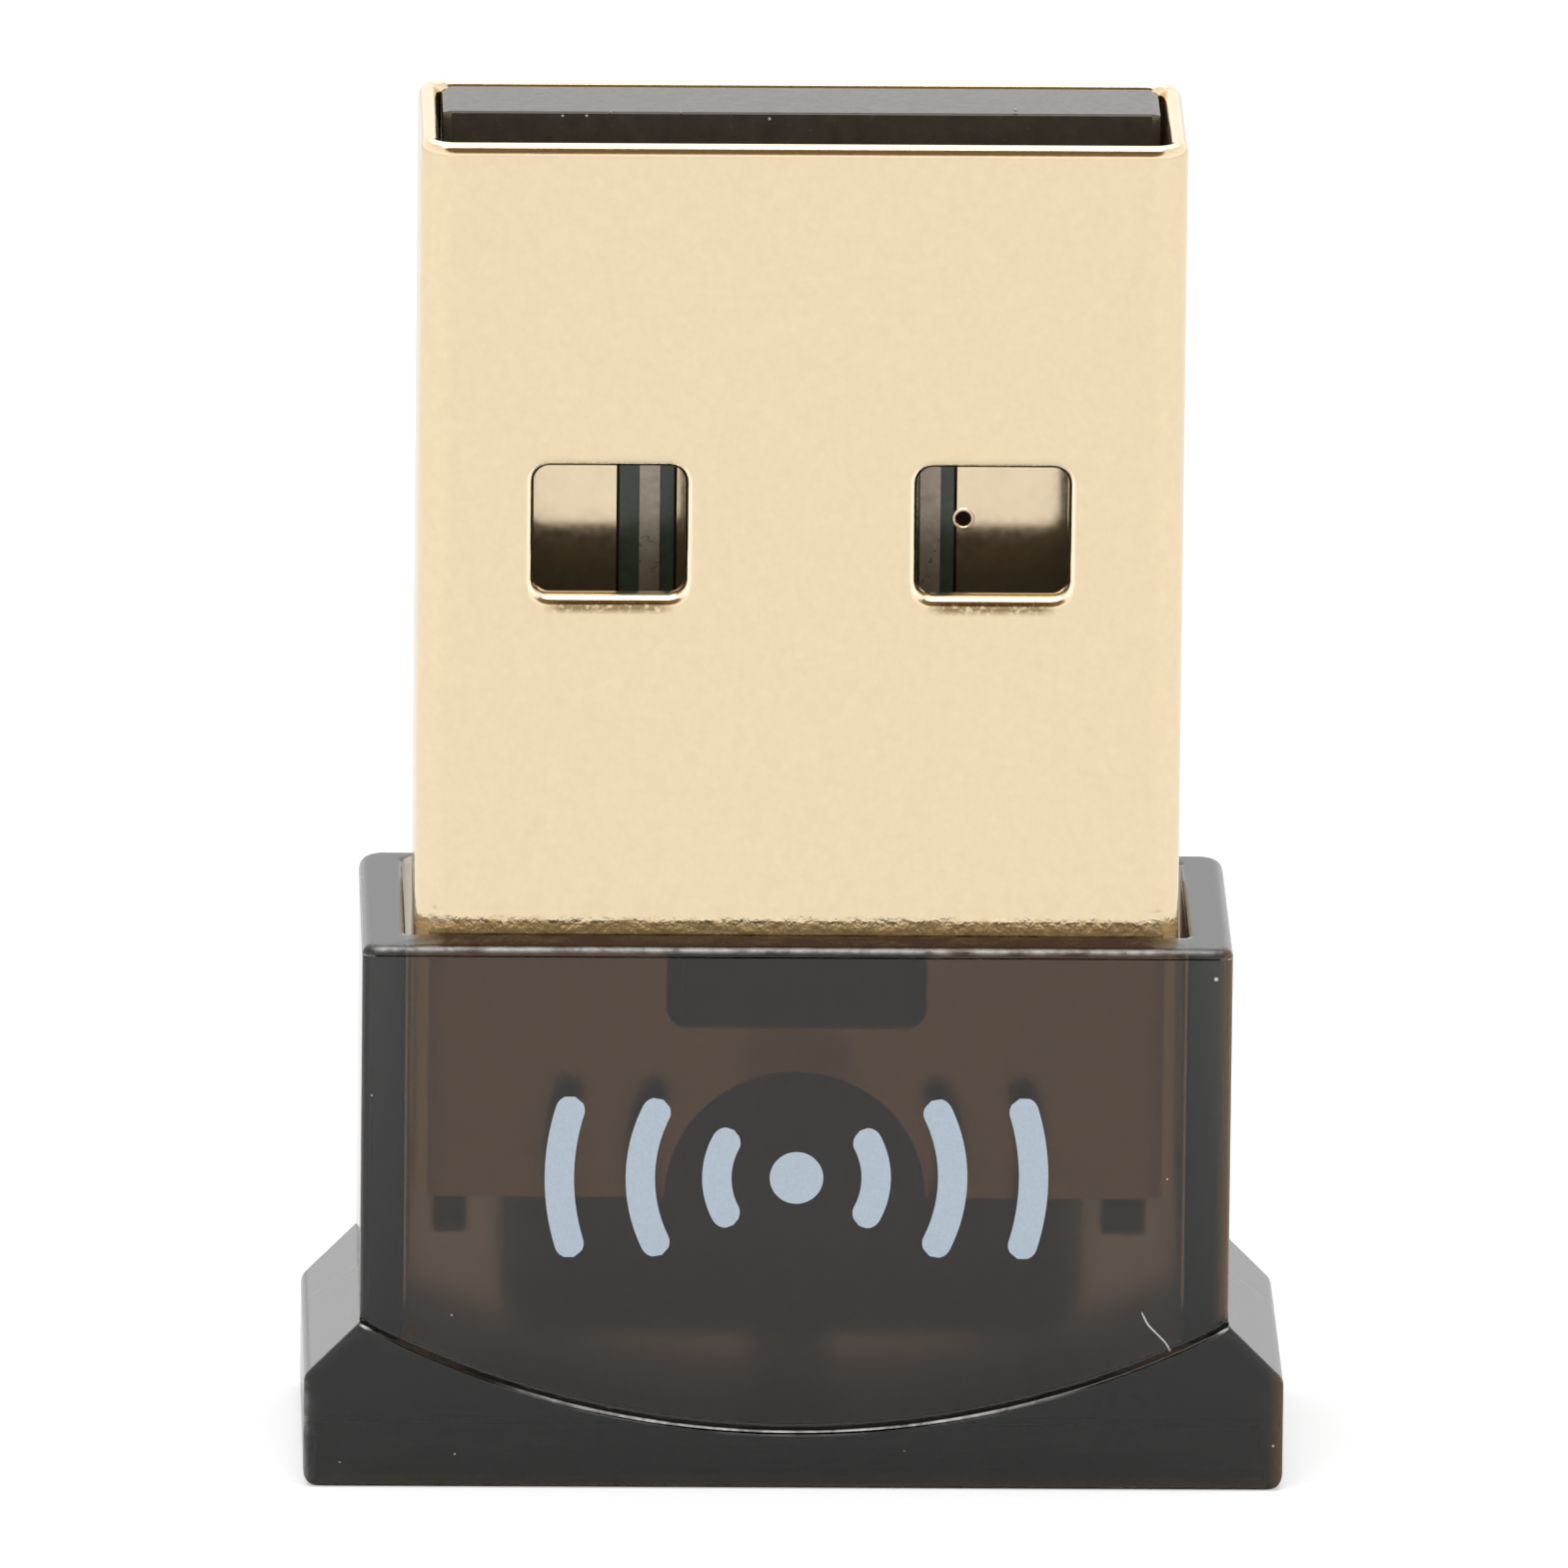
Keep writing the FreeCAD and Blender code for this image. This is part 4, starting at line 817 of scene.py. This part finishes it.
# %% The two faces of the sheet, with their openings
cut = np.zeros((len(upward) - 1, len(around)), bool)
grids = []
for opening in openings:
    (left, right, bottom, top), border = block_border(opening)
    cut[bottom:top, left:right] = True
    sides = (right - left, top - bottom)
    roll = opening["roll"]
    for deep, wider in ((0.0, roll), (SHEET, 0.0)):
        flat = between(border, rounded_outline(opening, sides, wider), (0.0, 0.35, 0.65, 0.85, 1.0))
        grids.append((folded(flat, deep), True))
    # The punch rolls the edge over on the outside and leaves it square inside
    rim = []
    for wider, deep in rounding(roll) + [(0.0, roll + 0.01), (0.0, SHEET)]:
        rim.append(folded(rounded_outline(opening, sides, wider), deep))
    grids.append((np.array(rim), True))

NOTCH = 2.05
for face in faces:
    left, right = line_number(face - LATCH_SIDE), line_number(face + LATCH_SIDE)
    top = level_number(LATCH_LOW)
    cut[0:top, left:right] = True
    columns, levels = around[left:right + 1], upward[:top + 1]
    border = np.concatenate([points_of(columns[0], levels[:-1]), points_of(columns[:-1], levels[-1]),
                             points_of(columns[-1], levels[::-1])])
    a = np.linspace(math.pi, 0, len(border))
    outline = points_of(face + NOTCH * np.cos(a), REAR + NOTCH * np.sin(a))
    flat = between(border, outline, (0.0, 0.4, 0.75, 1.0))
    grids += both_faces(flat) + [edge_of(line) for line in (outline, flat[:, 0], flat[:, -1])]

# Runs of whole cells between the openings, for both faces of the sheet
ring_lines = np.append(around, around[0] + RING)
for level in range(len(upward) - 1):
    kept = np.flatnonzero(~cut[level])
    for run in np.split(kept, np.flatnonzero(np.diff(kept) > 1) + 1):
        columns = ring_lines[run[0]:run[-1] + 2]
        grids += both_faces(points_of(columns[None, :], upward[level:level + 2, None]))
        if level == 0:
            grids.append(edge_of(points_of(columns, REAR)))

# The mouth's coined edge is half an ellipse: up the outside, over and down the inside
rim = [folded(points_of(around, MOUTH - RIM_HIGH * (1 - math.sin(a))), RIM_DEEP * (1 - math.cos(a)))
       for a in np.radians(np.arange(0, 181, 12))]
grids.append((np.array(rim), True))
shell = piece_of("plug_shell", grids, gold_plate)
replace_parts(shell, "connector_shell")

# %% [markdown]
# ### Seam
# The strip's two ends meet in the middle of the back, held by a dovetail. The gap is only
# 0.05 mm wide, so a dark ribbon along its path shows it well enough.

# %% Seam ribbon
dark = recipe("gap_shadow")
gap_shadow = dark.finish(Surface=dark.principled(
    Roughness=0.7, Specular_IOR_Level=0.1,
    Base_Color=dark.mix(dark.noise(4000, 2), (0.014, 0.008, 0.006), (0.034, 0.018, 0.012))))


def ribbon(path, width, thick, level):
    """Closed flat bar along a path of (x, z) points: each corner is mitred.

    At a corner the side shift is the mean of the two normals divided by its square length.
    """
    path = np.array(path, float)
    way = np.diff(path, axis=0)
    way /= np.linalg.norm(way, axis=1)[:, None]
    normal = points_of(-way[:, 1], way[:, 0])
    mean = np.vstack([normal[:1], (normal[:-1] + normal[1:]) / 2, normal[-1:]])
    mean /= (mean ** 2).sum(1)[:, None]
    loops = []
    for side, y in ((1, level), (1, level + thick), (-1, level + thick), (-1, level)):
        flat = path + mean * side * width / 2
        loops.append(points_of(flat[:, 0], y, flat[:, 1]))
    body = np.stack(loops, 1)
    first, last = (np.repeat(body[[end]].mean(1, keepdims=True), 4, 1) for end in (0, -1))
    return np.concatenate([first, body, last]), True


LOCK, TONGUE = MOUTH - 11.3, 1.1
seam_path = [(0, BODY_TOP + 0.01), (0, LOCK - 0.63), (TONGUE, LOCK - 0.85), (TONGUE, LOCK + 0.85),
             (0, LOCK + 0.63), (0, MOUTH - 0.08)]
piece_of("plug_seam", [ribbon(seam_path, 0.05, 0.006, PLUG_BACK - 0.002)], gap_shadow)

# %% [markdown]
# ## Print on the panel
# A pale blue-grey ink print fills the middle of the panel. Here it is a plain sign for radio: a
# dot with three waves on each side. Each wave is part of a ring, so it is a grid over
# radius and angle, and its ends are rounded by narrowing the ring towards them.

# %% Ink and waves
pale = recipe("print_ink")
grain = pale.spread(pale.noise(16000, 3, 0.7), 0.0, 1.0)
print_ink = pale.finish(Surface=pale.principled(
    Roughness=0.5, Base_Color=pale.mix(grain, (0.47, 0.56, 0.65), (0.54, 0.63, 0.72)),
    Normal=pale.bump(pale.noise(14000, 2), 0.000003)))

print_x, _, print_z = on_plane(797, 1178.5, PANEL)
INK_BACK, INK_FRONT = PANEL - 0.002, PANEL - 0.014
DOT_RADIUS, WAVE_WIDTH = 0.42, 0.46


def wave(radius, width, half_angle, facing):
    """Grids of one wave: a ring sector about the print's middle, as a closed thin plate.

    Across the wave the radius runs over +-width/2; near both ends that half width shrinks along
    a quarter ellipse, which rounds the end.
    """
    t = np.linspace(-1, 1, 49)
    end = width / 2 / (radius * half_angle)
    narrow = np.sqrt(np.clip(1 - (np.clip(np.abs(t) - (1 - end), 0, None) / end) ** 2, 0, 1))
    across = np.linspace(-1, 1, 5)[:, None] * narrow * width / 2 + radius
    x = print_x + facing * across * np.cos(t * half_angle)
    z = print_z + across * np.sin(t * half_angle)
    front, back = points_of(x, INK_FRONT, z), points_of(x, INK_BACK, z)
    return [(front, False), (back, False)] + [(np.stack([front[edge], back[edge]]), False)
                                              for edge in (0, -1)]


def tube(x, z, radii, levels, sides=32):
    """Rings about an axis along Y, one for each radius and y; without a middle it is a ring."""
    a = whole_turn(sides)
    rings = [points_of(x + r * np.cos(a), y, z + r * np.sin(a)) for r, y in zip(radii, levels)]
    return np.array(rings if radii[0] == 0 else rings + rings[:1]), True


ink = [tube(print_x, print_z, (0, 0.2, DOT_RADIUS, DOT_RADIUS, 0),
            (INK_FRONT, INK_FRONT, INK_FRONT, INK_BACK, INK_BACK), 48)]
for radius, angle in ((1.25, 38), (2.45, 31), (3.72, 20.5)):
    for facing in (-1, 1):
        ink += wave(radius, WAVE_WIDTH, math.radians(angle), facing)
piece_of("panel_print", ink, print_ink)

# %% [markdown]
# ## Recipe for plain finishes
# The tray, the pads and the small parts on the board need no more than this: a base colour that
# varies a little, a roughness that varies too, and a bump at the scale of the real material.

# %% Finish from two tones
def finish_of(name, first, second, scale, rough, height=0.0, **more):
    """Two tones mixed by noise, a roughness range and a bump of the given height in metres."""
    plain = recipe(name)
    tones = plain.spread(plain.noise(scale, 4, 0.6), 0, 1)
    more["Base_Color"] = plain.mix(tones, first, second)
    more["Roughness"] = plain.spread(plain.noise(scale * 2.3, 3), *rough)
    if height:
        more["Normal"] = plain.bump(plain.noise(scale * 3.1, 3), height)
    return plain.finish(Surface=plain.principled(**more))


# %% [markdown]
# ## Tray and copper
# In the mouth one looks at the black nose of the tray, whose top mirrors the light, and through
# the windows at the board with its pads. The tray is a set of prisms carried along X: the nose,
# a thin floor behind the board, a wall on each side and two small feet below the shell.

# %% Tray
CORE_FRONT, CORE_BACK, CORE_HALF, CORE_TOP = 0.61, 2.36, 5.62, MOUTH - 0.05
NOSE_ROUND, NOSE_BACK = 0.03, CORE_BACK - 0.09
black_plastic = finish_of("black_plastic", (0.050, 0.043, 0.034), (0.074, 0.063, 0.051), 3000,
                          (0.18, 0.28), 0.0000015)
nose = [(CORE_FRONT, 20.36), (CORE_FRONT, CORE_TOP - NOSE_ROUND), (CORE_FRONT + NOSE_ROUND, CORE_TOP),
        (NOSE_BACK - NOSE_ROUND, CORE_TOP), (NOSE_BACK, CORE_TOP - NOSE_ROUND), (NOSE_BACK, 20.36)]
tray_floor = [(1.32, 9.2), (1.29, 9.3), (1.29, 20.4), (CORE_BACK, 20.4), (CORE_BACK, 9.3),
              (CORE_BACK - 0.03, 9.2)]
tray = [prism(nose, -CORE_HALF, CORE_HALF, 0.13), prism(tray_floor, -CORE_HALF, CORE_HALF, 0.05)]
tray += [box(CORE_FRONT, 1.4, 9.2, 20.4, *ends, 0.03) for ends in ((-CORE_HALF, -4.60), (4.60, CORE_HALF))]
tray += [box(-1.3, 1.95, 3.79, 9.3, *ends, 0.04) for ends in ((-5.68, -5.14), (4.83, 5.53))]
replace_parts(piece_of("tray", tray, black_plastic), "connector_core")

# %% [markdown]
# The four pads are gold on copper. The last one has a plated hole near its inner side, whose
# bright ring reaches over the pad's edge. The hole is only 0.25 mm wide and full of shadow, so a
# dark disc inside a turned ring shows it. A narrow dark strip runs along both sides of each pad,
# between the pad and the lacquer.

# %% Pads and plated hole
PAD_LOW, PAD_TOP, PAD_BACK, PAD_SOFT = 12.81, 20.11, 0.658, 0.008
PAD_SPANS = ((-4.15, -2.85), (-1.9, -0.2), (0.3, 1.7), (2.5, 4.3))
GAP_MIDDLE, GAP_HALF = 0.024, 0.022
HOLE = 0.125
pad_gold = finish_of("pad_gold", (0.80, 0.66, 0.46), (0.87, 0.715, 0.50), 3000, (0.10, 0.16), Metallic=0.89)
hole_x, _, hole_z = on_plane(964, 519, CORE_FRONT)


def plate(low_x, high_x, front, back):
    """A closed strip as high as the pads, with slightly softened front edges."""
    soft_front = front + PAD_SOFT
    return prism([(back, PAD_LOW), (soft_front, PAD_LOW), (front, PAD_LOW + PAD_SOFT),
                  (front, PAD_TOP - PAD_SOFT), (soft_front, PAD_TOP), (back, PAD_TOP)], low_x, high_x, 0.006)


pads = [plate(low, high, CORE_FRONT, PAD_BACK) for low, high in PAD_SPANS]
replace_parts(piece_of("pads", pads, pad_gold), "contact_pads")
rim = [(HOLE, CORE_FRONT - 0.008), (HOLE + 0.012, CORE_FRONT - 0.02), (HOLE + 0.04, CORE_FRONT - 0.02),
       (HOLE + 0.05, CORE_FRONT - 0.008), (HOLE + 0.05, PAD_BACK), (HOLE, PAD_BACK)]
plated_hole = piece_of("plated_hole", [tube(hole_x, hole_z, *zip(*rim))], pad_gold)
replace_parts(plated_hole, "plated_via")
disc_front, disc_back = CORE_FRONT - 0.006, CORE_FRONT + 0.02
shadows = [tube(hole_x, hole_z, (0.0, HOLE - 0.006, HOLE - 0.002, 0.0),
                (disc_front, disc_front, disc_back, disc_back))]
shadows += [plate(middle - GAP_HALF, middle + GAP_HALF, PAD_BACK - 0.02, PAD_BACK + 0.004)
            for low, high in PAD_SPANS for middle in (low - GAP_MIDDLE, high + GAP_MIDDLE)]
piece_of("pad_shadows", shadows, gap_shadow)

# %% [markdown]
# ## Board
# The board has green lacquer over copper, and bare laminate round the aerial at its lower end.
# The photographed board ends lower than the modelled one, with round corners, as the dark shape
# behind the panel shows. So it is one flat slab here: rings of its outline between two middles.

# %% Board
LACQUER, BRIGHT_LACQUER, LAMINATE = (0.066, 0.092, 0.064), (0.088, 0.122, 0.086), (0.20, 0.165, 0.07)
BOARD_LOW, BOARD_TOP, BOARD_ROUND = 1.62, 20.31, 0.9
LOW_HALF, HIGH_HALF = 4.62, 4.53
BOARD_FRONT, BOARD_BACK, BOARD_SOFT = 0.66, 1.26, 0.01
BOARD_MIDDLE = (0, 11.0)

green = recipe("board_green")
lacquer = green.mix(green.spread(green.noise(5000, 4, 0.6), 0, 1), LACQUER, BRIGHT_LACQUER)
bare = green.spread(green.axes()["Z"], 1, 0, 0.0060, 0.0062)
board_green = green.finish(Surface=green.principled(
    Roughness=0.18, Base_Color=green.mix(bare, lacquer, LAMINATE)))

corner = points_of(np.sin(QUARTER), 1 - np.cos(QUARTER)) * BOARD_ROUND
right_side = np.vstack([corner + (LOW_HALF - BOARD_ROUND, BOARD_LOW), (LOW_HALF, 8.3),
                        (HIGH_HALF, 8.6), (HIGH_HALF, BOARD_TOP)])
outline = np.vstack([right_side, right_side[::-1] * (-1, 1)])
rings = []
for share, y in ((0, BOARD_FRONT), (0.5, BOARD_FRONT), (0.998, BOARD_FRONT), (1, BOARD_FRONT + BOARD_SOFT),
                 (1, BOARD_BACK - BOARD_SOFT), (0.998, BOARD_BACK), (0.5, BOARD_BACK), (0, BOARD_BACK)):
    flat = BOARD_MIDDLE + (outline - BOARD_MIDDLE) * share
    rings.append(points_of(flat[:, 0], y, flat[:, 1]))
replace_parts(piece_of("board", [(np.array(rings), True)], board_green), "circuit_board")

# %% [markdown]
# ## Finishes of the parts inside
# The remaining nodes keep their CAD shapes and get a plain finish each: two tones, the noise's
# scale, the roughness range, and what else the shader needs.

# %% Finishes on the CAD nodes
RECIPES = {
    "trace_copper": ((0.42, 0.36, 0.29), (0.54, 0.47, 0.39), 4000, (0.25, 0.4), dict(Metallic=0.5)),
    "chip_black": ((0.02, 0.02, 0.021), (0.035, 0.035, 0.037), 9000, (0.45, 0.65), dict(height=0.000004)),
    "solder_tin": ((0.55, 0.55, 0.56), (0.72, 0.72, 0.73), 5000, (0.2, 0.35),
                   dict(Metallic=1.0, height=0.000004)),
    "ceramic_white": ((0.62, 0.59, 0.53), (0.74, 0.71, 0.66), 6000, (0.35, 0.5), {}),
    "lid_metal": ((0.6, 0.57, 0.52), (0.7, 0.67, 0.61), 4000, (0.25, 0.4), dict(Metallic=1.0)),
    "capacitor_tan": ((0.40, 0.28, 0.17), (0.52, 0.38, 0.25), 5000, (0.35, 0.5), {}),
    "resistor_black": ((0.02, 0.02, 0.022), (0.045, 0.045, 0.05), 6000, (0.3, 0.45), {}),
    "inductor_blue": ((0.10, 0.16, 0.26), (0.16, 0.24, 0.36), 5000, (0.3, 0.45), {}),
    "lens_clear": ((0.80, 0.78, 0.62), (0.88, 0.86, 0.72), 5000, (0.08, 0.15),
                   dict(Transmission_Weight=0.6, IOR=1.5)),
}
finishes = {name: finish_of(name, *values, **more) for name, (*values, more) in RECIPES.items()}
for part in frame["record"]["subparts"]:
    if part["material_slot"] in finishes:
        for holder in frame["nodes"][part["node"]].material_slots:
            holder.material = finishes[part["material_slot"]]
print("finishes:", len(finishes))

# %% [markdown]
# ## Dust
# A short pale fibre clings to the panel's lower right corner, and a few specks of dust lie on the
# plastic and in the mouth. The fibre is a tube round a smooth path; its end rings shrink to
# points. Each speck is a small flattened bead.

# %% Fibre and specks
FIBRE_RADIUS = 0.013
dust_finish = finish_of("pale_dust", (0.55, 0.53, 0.48), (0.68, 0.66, 0.60), 20000, (0.6, 0.8))
clicks = ((1142, 1312), (1148, 1325), (1158, 1335), (1167, 1344), (1173, 1356))
knots = np.array([on_plane(*click, PANEL) for click in clicks])
t = np.linspace(0, len(knots) - 1, 33)
track = np.column_stack([np.interp(t, range(len(knots)), axis) for axis in knots.T])
for _ in range(6):
    track[1:-1] = (track[:-2] + 2 * track[1:-1] + track[2:]) / 4
turn = whole_turn(8)
thick = FIBRE_RADIUS * np.sqrt(np.clip(1 - np.linspace(-1, 1, len(track)) ** 8, 0, 1))[:, None]
fibre = points_of(track[:, :1] + thick * np.cos(turn), PANEL - 0.014 + thick * np.sin(turn),
                  track[:, 2:] + 0.6 * thick * np.cos(turn))


def speck(place, size):
    """A bead: rings of a sphere, size times sin and cos of the latitude, flattened along Y."""
    lat = np.linspace(0, math.pi, 7)[:, None]
    ball = points_of(np.sin(lat) * np.cos(turn), 0.4 * np.sin(lat) * np.sin(turn), np.cos(lat))
    return place + ball * size, True


# For each plane: its y, how far the beads stand from it, and (across, down, size) of each
SPECKS = (
    (PANEL, -0.002, ((1217, 980, 0.034), (372, 1096, 0.015), (1168, 1180, 0.014), (452, 1316, 0.014))),
    (BASE_FRONT, 0.006, ((1274, 1447, 0.022), (340, 1463, 0.016), (455, 1455, 0.018), (905, 1452, 0.012))),
    (CORE_FRONT, -0.002, ((563, 116, 0.020), (587, 116, 0.022), (611, 112, 0.016), (770, 119, 0.024),
                          (1016, 110, 0.03), (681, 112, 0.016))))
dust = [(fibre, True)]
for plane, offset, beads in SPECKS:
    for across, down, size in beads:
        dust.append(speck(on_plane(across, down, plane) + (0, offset, 0), size))
piece_of("dust", dust, dust_finish)
